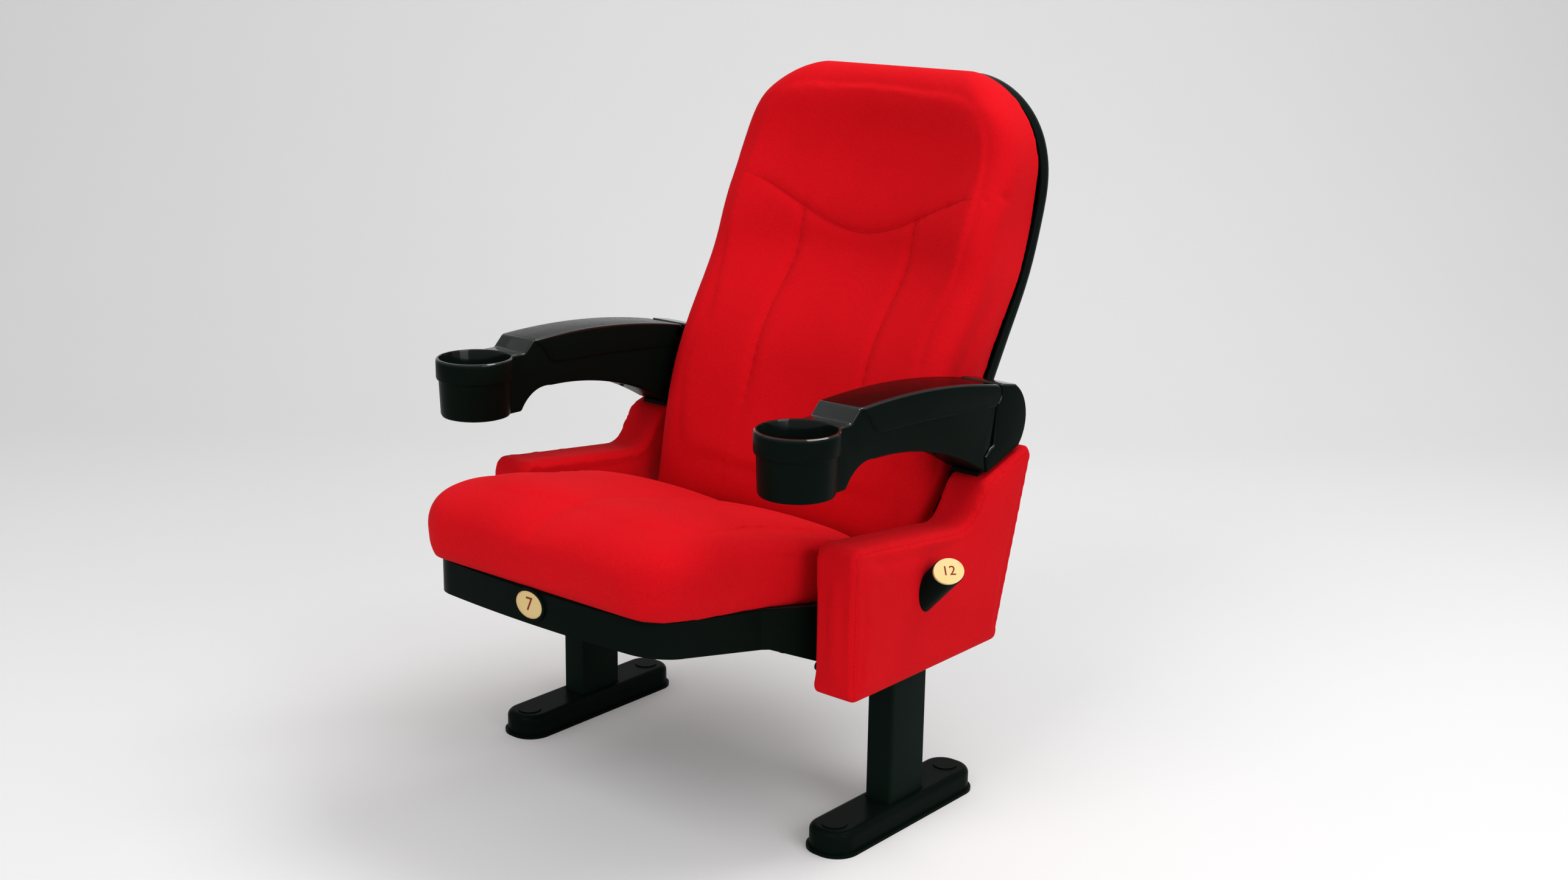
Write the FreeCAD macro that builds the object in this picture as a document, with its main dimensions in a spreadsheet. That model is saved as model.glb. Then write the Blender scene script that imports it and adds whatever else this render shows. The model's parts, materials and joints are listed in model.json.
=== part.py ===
import FreeCAD, Part
import math
import os

import Sketcher
from FreeCAD import Placement, Rotation, Vector

# Auditorium chair: two floor-bolted standards, a tip-up seat, a raked back and two lifting arms with cups.
# Millimetres. +Z is up, the chair faces -Y, and the origin is on the floor amid the four anchor holes.

SIZES = {
    # Standards
    "leg_spacing": 580.0,
    "leg_width": 42.0,
    "leg_depth": 76.0,
    "leg_wall": 3.0,
    "leg_set_back": 5.6,
    "foot_length": 318.0,
    "foot_width": 76.0,
    "foot_height": 33.6,
    "foot_lip_height": 4.0,
    "foot_lip_width": 4.0,
    "foot_corner": 34.0,
    "foot_top_round": 9.0,
    "foot_plate_length": 290.0,
    "foot_plate_width": 54.0,
    "foot_plate_thickness": 8.0,
    "anchor_spacing": 250.0,
    "anchor_hole_radius": 6.0,
    "bolt_access_radius": 13.0,
    "bolt_cap_radius": 17.0,
    "bolt_cap_height": 1.5,
    "bolt_cap_plug": 10.0,
    # Side panels
    "panel_thickness": 67.0,
    "panel_offset": 10.5,
    "panel_front": -147.0,
    "panel_bottom": 222.0,
    "panel_front_top": 420.0,
    "panel_dip_y": 100.0,
    "panel_dip_z": 396.0,
    "panel_rear_bottom": 172.0,
    "panel_rear_top": 247.0,
    "panel_edge_round": 9.0,
    "panel_front_round": 20.0,
    "panel_corner_round": 12.0,
    "panel_dip_round": 40.0,
    "panel_tip_round": 22.0,
    "slope_y": 145.0,
    "slope_z": 455.0,
    "slope_angle": 17.5,
    # Steel side frames
    "frame_thickness": 8.0,
    "frame_inset": 22.0,
    "frame_flange_width": 36.0,
    "frame_flange_height": 6.0,
    "frame_lift": 4.0,
    "frame_top_drop": 30.0,
    "frame_head_front": 163.0,
    "frame_head_rear": 216.0,
    # Armrests
    "arm_width": 69.0,
    "arm_wall": 4.0,
    "arm_step_y": -136.0,
    "arm_step_z": 602.0,
    "arm_crown_rise": 10.0,
    "arm_end_y": 166.0,
    "arm_end_z": 581.0,
    "arm_end_slope": 11.5,
    "arm_knuckle_radius": 13.0,
    "arm_shelf_y": -152.0,
    "arm_shelf_z": 586.0,
    "arm_heel_y": 156.0,
    "arm_heel_z": 496.0,
    "arm_jog_y": 143.0,
    "arm_jog_z": 485.5,
    "arm_tip_y": 147.0,
    "arm_arch_front": -100.0,
    "arm_arch_top": 531.0,
    "arm_arch_rise": 17.5,
    "arm_arch_corner": 42.0,
    "arm_cover_thickness": 4.0,
    "arm_cover_front": -96.0,
    "arm_cover_rear": 112.0,
    "arm_gap": 0.7,
    "arm_slit": 8.0,
    "cup_centre": -216.0,
    "cup_rim_radius": 54.0,
    "cup_band_step": 2.5,
    "cup_band_height": 29.0,
    "cup_foot_radius": 48.5,
    "cup_bottom": 503.0,
    "cup_wall": 3.5,
    "arm_edge_round": 5.0,
    "arm_pin_radius": 5.0,
    "arm_pin_length": 54.0,
    "arm_bush_wall": 2.0,
    "arm_bush_length": 12.0,
    "arm_cap_radius": 6.5,
    "arm_cap_thickness": 2.0,
    "arm_bracket_thickness": 10.0,
    "arm_bracket_eye": 11.0,
    "hub_centre_y": 184.0,
    "hub_centre_z": 525.0,
    "hub_radius": 56.0,
    "hub_low_angle": 45.0,
    "hub_far_angle": 8.0,
    "hub_top_angle": 62.0,
    "base_plate_thickness": 5.0,
    "base_plate_width": 44.0,
    "base_plate_rear": 234.0,
    # Seat
    "seat_pivot_y": 25.0,
    "seat_pivot_z": 298.0,
    "seat_pin_radius": 8.0,
    "seat_eye_radius": 14.0,
    "seat_bush_wall": 3.0,
    "bearing_radius": 20.0,
    "bearing_face": 260.0,
    "washer_radius": 18.0,
    "seat_front": -389.0,
    "seat_front_bow": 9.0,
    "seat_corner_inset": 49.0,
    "seat_corner_length": 52.0,
    "pan_front_half": 209.0,
    "pan_waist_half": 223.0,
    "pan_waist_y": -200.0,
    "pan_rear_half": 254.0,
    "pan_shoulder_y": -110.0,
    "pan_wall": 4.0,
    "pan_edge_z": 357.0,
    "pan_slope": 7.2,
    "pan_front_height": 43.5,
    "pan_belly_front_y": -188.0,
    "pan_belly_front_z": 278.0,
    "pan_belly_rear_y": -95.0,
    "pan_belly_rear_z": 238.0,
    "pan_rear_radius": 69.0,
    "pan_rear_angle": 12.0,
    "seat_board_thickness": 12.0,
    "seat_board_gap": 1.0,
    "seat_side_thickness": 6.0,
    "seat_tube_radius": 14.0,
    "seat_rail_width": 25.0,
    "seat_rail_place": 120.0,
    "stop_radius": 6.0,
    "stop_reach": 18.0,
    "seat_nose": 13.0,
    "seat_half": 231.0,
    "seat_rear_half": 249.0,
    "seat_crown_y": -300.0,
    "seat_crown_z": 458.0,
    "seat_thigh_z": 441.0,
    "seat_middle_z": 420.0,
    "seat_hip_z": 383.0,
    "seat_rear_y": 90.0,
    "seat_rear_z": 336.0,
    "seat_tuck": 14.0,
    "seat_rear_tuck": 5.0,
    "seat_dish": 9.0,
    "badge_length": 48.0,
    "badge_height": 36.0,
    "badge_drop": 19.0,
    "badge_thickness": 2.0,
    "bezel_margin": 4.0,
    "bezel_thickness": 3.0,
    # Back
    "back_half": 248.0,
    "back_bottom": 335.0,
    "back_top": 977.0,
    "back_corner_radius": 134.0,
    "back_rear_y": 367.0,
    "back_rear_z": 868.0,
    "back_lean": 30.4,
    "back_bend_radius": 393.0,
    "back_low_y": 97.0,
    "back_waist_z": 450.0,
    "back_waist_y": 105.0,
    "back_lumbar_z": 528.0,
    "back_lumbar_y": 125.0,
    "back_middle_z": 659.0,
    "back_middle_y": 192.0,
    "back_seam_z": 745.0,
    "back_seam_y": 231.0,
    "back_head_z": 805.0,
    "back_head_y": 257.0,
    "back_crown_z": 893.0,
    "back_crown_y": 291.0,
    "back_bolster": 32.0,
    "back_recess": 40.0,
    "channel_place": 102.0,
    "channel_half_width": 5.0,
    "channel_depth": 6.0,
    "head_seam_end_z": 814.0,
    "head_seam_dip_z": 738.0,
    "head_seam_turn": 125.0,
    "head_seam_width": 5.0,
    "head_seam_depth": 4.0,
    "shell_margin": 2.0,
    "shell_top_drop": 7.0,
    "shell_wall": 3.0,
    "shell_low_depth": 40.0,
    "shell_top_depth": 36.0,
    "shell_bulge": 14.0,
    "board_half": 226.0,
    "board_thickness": 10.0,
    "board_bottom": 352.0,
    "board_top": 946.0,
    "board_corner": 95.0,
    "back_bracket_z": 425.0,
    "back_bracket_width": 60.0,
    "back_bracket_thickness": 6.0,
    "back_bracket_reach": 90.0,
    # Row marker on the right panel
    "marker_y": 1.0,
    "marker_z": 331.0,
    "marker_radius": 19.5,
    "marker_length": 50.0,
    "marker_rise": 47.0,
    "marker_face_turn": 40.0,
    "marker_face_rise": 45.0,
    "marker_plate_radius": 18.3,
    "marker_plate_thickness": 2.0,
    # Clearances
    "slip_gap": 0.5,
    "running_gap": 0.05,
    "thrust_gap": 0.4,
}

SIDES = {"left": -1, "right": 1}
ACROSS = Rotation(Vector(0, 1, 0), 90)
UPRIGHT = Rotation()
KNUCKLE_FOOT = -68
SHELL_BAYS = 7


class Size:
    """A number together with the sheet formula that gives it."""

    def __init__(self, value, formula):
        self.value = float(value)
        self.formula = formula

    def joined(self, sign, other, value):
        return Size(value, f"({self.formula} {sign} {other.formula})")

    def __add__(self, other):
        other = sized(other)
        return self.joined("+", other, self.value + other.value)

    def __sub__(self, other):
        other = sized(other)
        return self.joined("-", other, self.value - other.value)

    def __mul__(self, other):
        other = sized(other)
        return self.joined("*", other, self.value * other.value)

    def __truediv__(self, other):
        other = sized(other)
        return self.joined("/", other, self.value / other.value)

    def __neg__(self):
        return self * -1

    __radd__ = __add__
    __rmul__ = __mul__

    def __rsub__(self, other):
        return sized(other) - self


def sized(number):
    """A plain number or a Size, as a Size."""
    if isinstance(number, Size):
        return number
    return Size(number, repr(float(number)))


def wave(name, angle):
    """The sine, cosine or tangent of an angle in degrees."""
    angle = sized(angle)
    return Size(getattr(math, name)(math.radians(angle.value)), f"{name}({angle.formula})")


doc = FreeCAD.newDocument("auditorium_chair")
sheet = doc.addObject("Spreadsheet::Sheet", "Sizes")


class Sheet:
    """The driving sizes, by name."""


def fill_sheet():
    """Write the driving sizes into the sheet and name them."""
    for row, (name, value) in enumerate(SIZES.items(), 1):
        sheet.set(f"A{row}", name)
        sheet.set(f"B{row}", str(value))
        sheet.setAlias(f"B{row}", name)
        setattr(Sheet, name, Size(value, f"Sizes.{name}"))
    doc.recompute()


fill_sheet()
s = Sheet
nodes = {}


def keep(label, item):
    """Make an object of the document a sub-part under its own name."""
    item.Label = label
    nodes[label] = item
    return item


def bind(item, **formulas):
    """Tie properties of an object to the sheet."""
    for name, size in formulas.items():
        item.setExpression(name, sized(size).formula)


def place(item, x=0, y=0, z=0, turn=UPRIGHT):
    """Put an object at a point worked out by the sheet."""
    point = [sized(number) for number in (x, y, z)]
    item.Placement = Placement(Vector(*(size.value for size in point)), turn)
    for axis, size in zip("xyz", point):
        item.setExpression(f"Placement.Base.{axis}", size.formula)
    return item


def box(name, centre, length, width, height):
    """A box about a centre in x and y that stands on the centre's z."""
    item = doc.addObject("Part::Box", name)
    bind(item, Length=length, Width=width, Height=height)
    x, y, z = centre
    return place(item, x - sized(length) / 2, y - sized(width) / 2, z)


def rod(name, start, radius, length, turn=ACROSS):
    """A round bar from a start point, along +X unless turned."""
    item = doc.addObject("Part::Cylinder", name)
    bind(item, Radius=radius, Height=length)
    return place(item, *start, turn=turn)


def taper(name, start, low_radius, high_radius, height):
    """An upright cone from a start point."""
    item = doc.addObject("Part::Cone", name)
    bind(item, Radius1=low_radius, Radius2=high_radius, Height=height)
    return place(item, *start)


def cut(name, base, *tools):
    """What is left of the base without the tools."""
    for number, tool in enumerate(tools):
        item = doc.addObject("Part::Cut", f"{name}_{number}")
        item.Base, item.Tool = base, tool
        base = item
    return base


def fuse(name, *shapes):
    """Several shapes as one solid."""
    item = doc.addObject("Part::MultiFuse", name)
    item.Shapes = list(shapes)
    return item


def common(name, *shapes):
    """What several shapes share."""
    item = doc.addObject("Part::MultiCommon", name)
    item.Shapes = list(shapes)
    return item


def group(name, *shapes):
    """Separate solids kept together as one sub-part."""
    item = doc.addObject("Part::Compound", name)
    item.Links = list(shapes)
    return item


def solid(name, shape):
    """A sub-part whose form comes from a loft."""
    item = doc.addObject("Part::Feature", name)
    item.Shape = shape
    item.Placement = Placement()
    return item


def new_sketch(body, role):
    """A sketch on one of the body's origin planes."""
    sketch = body.newObject("Sketcher::SketchObject", f"{body.Name}_sketch")
    plane = next(item for item in body.Origin.OriginFeatures if item.Role == role)
    sketch.AttachmentSupport = [(plane, "")]
    sketch.MapMode = "FlatFace"
    return sketch


def pin_point(sketch, geometry, end, point):
    """Hold one end of a line, arc or point at sheet coordinates."""
    for kind, axis, size in zip(("DistanceX", "DistanceY"), (-2, -1), point):
        if size.value == 0 and "Sizes" not in size.formula:
            sketch.addConstraint(Sketcher.Constraint("PointOnObject", geometry, end, axis))
            continue
        index = sketch.addConstraint(Sketcher.Constraint(kind, -1, 1, geometry, end, size.value))
        sketch.setExpression(f"Constraints[{index}]", size.formula)


def add_outline(sketch, points):
    """A closed outline of corners (a, b). An arc to the next corner passes a point (a, b, "arc")."""
    corners = [point for point in points if len(point) == 2]
    through = {}
    for point in points:
        if len(point) == 3:
            through[previous] = point[:2]
        else:
            previous = corners.index(point)
    flat = [tuple(sized(number) for number in corner) for corner in corners]
    vectors = [Vector(a.value, b.value, 0) for a, b in flat]
    first = len(sketch.Geometry)
    count = len(corners)
    starts = []
    for index in range(count):
        here, beyond = vectors[index], vectors[(index + 1) % count]
        if index in through:
            middle = Vector(*(sized(number).value for number in through[index]), 0)
            clockwise = (middle - here).cross(beyond - middle).z < 0
            ends = (beyond, here) if clockwise else (here, beyond)
            edge = sketch.addGeometry(Part.Arc(ends[0], middle, ends[1]))
        else:
            edge = sketch.addGeometry(Part.LineSegment(here, beyond))
        ahead = sketch.Geometry[edge].StartPoint.distanceToPoint(here) < 1e-6
        starts.append((edge, 1 if ahead else 2, 2 if ahead else 1))
    for index in range(count):
        edge, start, _ = starts[index]
        before, _, end = starts[index - 1]
        sketch.addConstraint(Sketcher.Constraint("Coincident", before, end, edge, start))
        pin_point(sketch, edge, start, flat[index])
    for index, point in through.items():
        middle = tuple(sized(number) for number in point)
        dot = sketch.addGeometry(Part.Point(Vector(middle[0].value, middle[1].value, 0)), True)
        pin_point(sketch, dot, 1, middle)
        sketch.addConstraint(Sketcher.Constraint("PointOnObject", dot, 1, first + index))


def new_body(name):
    """An empty body."""
    return doc.addObject("PartDesign::Body", name)


def pad(body, sketch, length, even=True):
    """Thicken a sketch, to both sides of its plane unless told otherwise."""
    feature = body.newObject("PartDesign::Pad", f"{body.Name}_pad")
    feature.Profile = sketch
    feature.SideType = "Symmetric" if even else "One side"
    bind(feature, Length=length)
    body.Tip = feature
    doc.recompute()
    return feature


def side_plate(name, points, width, centre_x):
    """A plate of a given side outline, in y and z, thickened along x about a centre."""
    body = new_body(name)
    sketch = new_sketch(body, "YZ_Plane")
    add_outline(sketch, points)
    pad(body, sketch, width)
    return place(body, centre_x)


def plan_plate(name, points, bottom, height):
    """A plate of a given plan outline, in x and y, thickened upwards from a level."""
    body = new_body(name)
    sketch = new_sketch(body, "XY_Plane")
    add_outline(sketch, points)
    pad(body, sketch, height, even=False)
    return place(body, z=bottom)


def round_edges(body, radius, test):
    """Round those edges of a body that pass a test."""
    base = body.Tip
    names = [f"Edge{index}" for index, edge in enumerate(base.Shape.Edges, 1) if test(edge)]
    feature = body.newObject("PartDesign::Fillet", f"{body.Name}_round")
    feature.Base = (base, names)
    bind(feature, Radius=radius)
    body.Tip = feature
    doc.recompute()


def across_at(a, b):
    """A test for edges along x through a point in y and z."""
    a, b = sized(a).value, sized(b).value

    def test(edge):
        ends = [vertex.Point for vertex in edge.Vertexes]
        return len(ends) == 2 and all(math.hypot(p.y - a, p.z - b) < 0.01 for p in ends)

    return test


def on_level(axis, *levels):
    """A test for edges that lie wholly at one of some levels along an axis."""
    values = [sized(level).value for level in levels]

    def test(edge):
        low, high = getattr(edge.BoundBox, f"{axis}Min"), getattr(edge.BoundBox, f"{axis}Max")
        return any(abs(low - value) < 0.01 and abs(high - value) < 0.01 for value in values)

    return test


def rectangle(length, width, x=0, y=0):
    """The corners of a rectangle about a centre."""
    a, b = sized(length) / 2, sized(width) / 2
    return [(x - a, y - b), (x + a, y - b), (x + a, y + b), (x - a, y + b)]


def rounded_rectangle(length, width, radius):
    """A rectangle about the origin with quarter-round corners."""
    a, b = sized(length) / 2, sized(width) / 2
    bend = radius * (1 - math.sqrt(0.5))
    points = []
    for x, y, first in ((1, 1, 1), (-1, 1, 0), (-1, -1, 1), (1, -1, 0)):
        beside = (a * x, (b - radius) * y)
        along = ((a - radius) * x, b * y)
        start, end = (beside, along) if first else (along, beside)
        points += [start, ((a - bend) * x, (b - bend) * y, "arc"), end]
    return points


def ring(name, start, bore, radius, length):
    """A round sleeve along +X."""
    return cut(name, rod(f"{name}_wall", start, radius, length), rod(f"{name}_bore", start, bore, length))


def outward(side, near, length):
    """Where a piece along x begins, given its end nearer to the middle of the chair."""
    return near if side > 0 else -(near + length)


# Places that several pieces share
leg_x = s.leg_spacing / 2
frame_inner = leg_x - s.frame_thickness / 2
panel_inner = leg_x + s.panel_offset - s.panel_thickness / 2
panel_outer = leg_x + s.panel_offset + s.panel_thickness / 2
slope_rate = wave("tan", s.slope_angle)
plate_rise = s.base_plate_thickness / wave("cos", s.slope_angle)
pivot_y = s.arm_end_y - s.arm_knuckle_radius * wave("sin", s.arm_end_slope)
pivot_z = s.arm_end_z - s.arm_knuckle_radius * wave("cos", s.arm_end_slope)
pan_rate = wave("tan", s.pan_slope)
lean_sine = wave("sin", s.back_lean)
lean_cosine = wave("cos", s.back_lean)
bend_y = s.back_rear_y - s.back_bend_radius
bush_radius = s.seat_pin_radius + s.seat_bush_wall
seat_side_near = s.pan_rear_half - s.pan_wall - s.seat_board_gap * 2 - s.seat_side_thickness


def slope(y):
    """Height of the panel's sloping head at a depth."""
    return s.slope_z + (y - s.slope_y) * slope_rate


def pan_edge(y):
    """Height of the seat pan's upper edge at a depth."""
    return s.pan_edge_z - (y - s.seat_front) * pan_rate


# Feet and legs


def build_foot(name, side):
    """Foot plate, its moulded cover and the leg column of one standard."""
    x = leg_x * side
    plate = box(f"foot_plate_blank_{name}", (x, 0, 0), s.foot_plate_width, s.foot_plate_length,
                s.foot_plate_thickness)
    holes = []
    accesses = []
    for end in (-1, 1):
        start = (x, s.anchor_spacing / 2 * end, 0)
        holes.append(rod(f"anchor_hole_{name}_{end + 1}", start, s.anchor_hole_radius,
                         s.foot_plate_thickness, UPRIGHT))
        accesses.append(rod(f"bolt_access_{name}_{end + 1}", start, s.bolt_access_radius, s.foot_height,
                            UPRIGHT))
    keep(f"foot_plate_{name}", cut(f"foot_plate_cut_{name}", plate, *holes))
    boot = new_body(f"foot_boot_{name}")
    sketch = new_sketch(boot, "XY_Plane")
    add_outline(sketch, rounded_rectangle(s.foot_width, s.foot_length, s.foot_corner))
    pad(boot, sketch, s.foot_lip_height, even=False)
    sketch = new_sketch(boot, "XY_Plane")
    lip = s.foot_lip_width
    inner = rounded_rectangle(s.foot_width - lip * 2, s.foot_length - lip * 2, s.foot_corner - lip)
    add_outline(sketch, inner)
    pad(boot, sketch, s.foot_height, even=False)
    round_edges(boot, s.foot_top_round, on_level("Z", s.foot_height))
    place(boot, x)
    room = box(f"foot_plate_room_{name}", (x, 0, 0), s.foot_plate_width + s.slip_gap * 2,
               s.foot_plate_length + s.slip_gap * 2, s.foot_plate_thickness + s.slip_gap)
    leg_room = box(f"leg_room_{name}", (x, s.leg_set_back, 0), s.leg_width + s.slip_gap * 2,
                   s.leg_depth + s.slip_gap * 2, s.foot_height)
    keep(f"foot_cover_{name}", cut(f"foot_cover_cut_{name}", boot, room, leg_room, *accesses))
    leg = new_body(f"leg_tube_{name}")
    sketch = new_sketch(leg, "XY_Plane")
    add_outline(sketch, rectangle(s.leg_width, s.leg_depth))
    add_outline(sketch, rectangle(s.leg_width - s.leg_wall * 2, s.leg_depth - s.leg_wall * 2))
    pad(leg, sketch, s.panel_bottom - s.foot_plate_thickness, even=False)
    keep(f"leg_column_{name}", place(leg, x, s.leg_set_back, s.foot_plate_thickness))


def build_bolt_caps():
    """Round caps over the four anchor bolts."""
    caps = []
    for name, side in SIDES.items():
        for end in (-1, 1):
            x, y = leg_x * side, s.anchor_spacing / 2 * end
            tag = f"{name}_{end + 1}"
            head = rod(f"cap_head_{tag}", (x, y, s.foot_height), s.bolt_cap_radius, s.bolt_cap_height,
                       UPRIGHT)
            plug = rod(f"cap_plug_{tag}", (x, y, s.foot_height - s.bolt_cap_plug),
                       s.bolt_access_radius - s.slip_gap, s.bolt_cap_plug, UPRIGHT)
            caps.append(fuse(f"cap_{tag}", head, plug))
    keep("foot_bolt_caps", group("bolt_caps", *caps))


# Side frames and panels


def frame_outline(gap):
    """The side frame's plate outline, grown by a gap, open through the panel's sloping head."""
    front = s.panel_front + s.frame_inset - gap
    low = s.panel_bottom + s.frame_lift - gap
    rear = s.panel_rear_bottom - s.frame_inset + gap
    head_front = s.frame_head_front - gap
    head_rear = s.frame_head_rear + gap
    shoulder = s.panel_dip_z - s.frame_top_drop + gap
    return [(front, low), (rear, low), (head_rear, slope(head_rear)),
            (head_front, slope(head_front)), (head_front, shoulder), (front, shoulder)]


def bracket_centre(side):
    """Where the back bracket's bar begins, near the middle of the chair."""
    drop = (s.back_rear_z - s.back_bend_radius * lean_sine - s.back_bracket_z) / lean_cosine
    depth = s.back_bend_radius + s.board_thickness
    y = bend_y + depth * lean_cosine - drop * lean_sine
    z = s.back_rear_z - depth * lean_sine - drop * lean_cosine
    return outward(side, frame_inner - s.back_bracket_reach, s.back_bracket_reach), y, z


def bracket_bar(name, side, gap):
    """A flat bar behind the back board, turned to its rake and grown by a gap."""
    x, y, z = bracket_centre(side)
    bar = doc.addObject("Part::Box", name)
    bind(bar, Length=s.back_bracket_reach, Width=s.back_bracket_thickness + gap,
         Height=s.back_bracket_width + gap * 2)
    turn = Rotation(Vector(1, 0, 0), -s.back_lean.value)
    place(bar, x, y - gap * lean_sine, z - gap * lean_cosine, turn)
    bar.setExpression("Placement.Rotation.Angle", s.back_lean.formula)
    bar.setExpression("Placement.Rotation.Axis.x", "-1")
    return bar


def stop_centre():
    """Centre of the seat's rest peg in y and z, just under the pan's sloping belly."""
    run_y = s.pan_belly_front_y - s.pan_belly_rear_y
    run_z = s.pan_belly_front_z - s.pan_belly_rear_z
    angle = math.degrees(math.atan2(run_z.value, -run_y.value))
    reach = s.stop_radius + s.thrust_gap
    y = s.pan_belly_rear_y - s.stop_radius / 2 - reach * wave("sin", angle)
    z = s.pan_belly_rear_z + (s.stop_radius / 2) * run_z / (run_y * -1) - reach * wave("cos", angle)
    return y, z


def build_side(name, side):
    """Steel frame, upholstered panel, base plate, seat bearing and rest peg of one standard."""
    x = leg_x * side
    plate = side_plate(f"frame_plate_{name}", frame_outline(sized(0)), s.frame_thickness, x)
    flange = box(f"frame_flange_{name}", (x, s.leg_set_back, s.panel_bottom), s.frame_flange_width,
                 s.leg_depth - s.leg_wall * 2, s.frame_flange_height)
    keep(f"side_frame_{name}", fuse(f"frame_weld_{name}", plate, flange))

    panel = side_plate(f"panel_{name}", panel_outline(), s.panel_thickness,
                       (leg_x + s.panel_offset) * side)
    rounds = ((s.panel_front, s.panel_bottom, s.panel_corner_round),
              (s.panel_front, s.panel_front_top, s.panel_front_round),
              (s.panel_dip_y, s.panel_dip_z, s.panel_dip_round),
              (s.panel_rear_top, slope(s.panel_rear_top), s.panel_corner_round),
              (s.panel_rear_bottom, s.panel_bottom, s.panel_corner_round),
              (*panel_tip(), s.panel_tip_round))
    for y, z, radius in rounds:
        round_edges(panel, radius, across_at(y, z))
    half = s.panel_thickness / 2
    round_edges(panel, s.panel_edge_round, on_level("X", half, -half))
    room = side_plate(f"frame_room_{name}", frame_outline(s.slip_gap), s.frame_thickness + s.slip_gap * 2, x)
    flange_room = box(f"flange_room_{name}", (x, s.leg_set_back, s.panel_bottom),
                      s.frame_flange_width + s.slip_gap * 2, s.leg_depth,
                      s.frame_flange_height + s.slip_gap)
    reach = frame_inner - s.bearing_face
    start = outward(side, s.bearing_face, reach)
    bearing_room = rod(f"bearing_room_{name}", (start, s.seat_pivot_y, s.seat_pivot_z),
                       s.bearing_radius + s.slip_gap, reach)
    stop_y, stop_z = stop_centre()
    stop_near = s.pan_rear_half - s.stop_reach
    stop_length = frame_inner - stop_near
    stop_start = outward(side, stop_near, stop_length)
    stop_room = rod(f"stop_room_{name}", (stop_start, stop_y, stop_z), s.stop_radius + s.slip_gap,
                    stop_length)
    bar_room = bracket_bar(f"bracket_room_{name}", side, s.slip_gap)
    keep(f"side_upholstery_{name}",
         cut(f"panel_cut_{name}", panel, room, flange_room, bearing_room, stop_room, bar_room))

    keep(f"seat_bearing_{name}", ring(f"bearing_{name}", (start, s.seat_pivot_y, s.seat_pivot_z), bush_radius,
                                      s.bearing_radius, reach))
    keep(f"seat_pivot_bush_{name}", ring(f"bush_{name}", (start, s.seat_pivot_y, s.seat_pivot_z),
                                         s.seat_pin_radius + s.running_gap, bush_radius, reach))
    keep(f"seat_stop_{name}", rod(f"stop_{name}", (stop_start, stop_y, stop_z), s.stop_radius, stop_length))
    front, rear = s.slope_y, s.base_plate_rear
    keep(f"arm_base_plate_{name}", side_plate(
        f"base_plate_{name}",
        [(front, slope(front)), (rear, slope(rear)), (rear, slope(rear) + plate_rise),
         (front, slope(front) + plate_rise)],
        s.base_plate_width, x))


def panel_tip():
    """Where the panel's rise meets its sloping head."""
    y = s.slope_y - s.panel_tip_round / 4
    return y, slope(y)


def panel_outline():
    """Side outline of the upholstered panel."""
    return [(s.panel_front, s.panel_bottom), (s.panel_rear_bottom, s.panel_bottom),
            (s.panel_rear_top, slope(s.panel_rear_top)), panel_tip(), (s.panel_dip_y, s.panel_dip_z),
            (s.panel_front, s.panel_front_top)]


# Armrests


def knuckle(angle, radius):
    """A point about the arm's pivot at an angle above straight back."""
    return pivot_y + radius * wave("cos", angle), pivot_z + radius * wave("sin", angle)


def middle_of(first, second, rise):
    """The middle of an arc between two points, a given rise above its chord."""
    run = math.hypot(second[0].value - first[0].value, second[1].value - first[1].value)
    tilt_y = (first[1] - second[1]) / run
    tilt_z = (second[0] - first[0]) / run
    return (first[0] + second[0]) / 2 + rise * tilt_y, (first[1] + second[1]) / 2 + rise * tilt_z


def arm_arch():
    """The underside of the arm: its rear end, the long arch's middle and end, and the corner by the cup."""
    tip = (s.arm_tip_y, slope(s.arm_tip_y) + plate_rise + s.arm_gap)
    end = (s.arm_arch_front, s.arm_arch_top)
    high = middle_of(end, tip, s.arm_arch_rise)
    foot = (s.arm_arch_front - s.arm_arch_corner * 1.4, s.cup_bottom)
    turn = (s.arm_arch_front - s.arm_arch_corner, s.arm_arch_top - s.arm_arch_corner * 0.21)
    return tip, high, end, turn, foot


def arm_outline():
    """Side outline of the lifting arm, from its step back over the crown and knuckle and round the arch."""
    step = (s.arm_step_y, s.arm_step_z)
    end = (s.arm_end_y, s.arm_end_z)
    crown = middle_of(step, end, s.arm_crown_rise)
    back = knuckle(0, s.arm_knuckle_radius)
    foot = knuckle(KNUCKLE_FOOT, s.arm_knuckle_radius)
    tip, high, arch_end, turn, arch_foot = arm_arch()
    return [step, (*crown, "arc"), end, (*back, "arc"), foot, (s.arm_heel_y, s.arm_heel_z),
            (s.arm_jog_y, s.arm_jog_z), tip, (*high, "arc"), arch_end, (*turn, "arc"), arch_foot,
            (s.cup_centre, s.cup_bottom), (s.cup_centre, s.arm_shelf_z), (s.arm_shelf_y, s.arm_shelf_z)]


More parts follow.
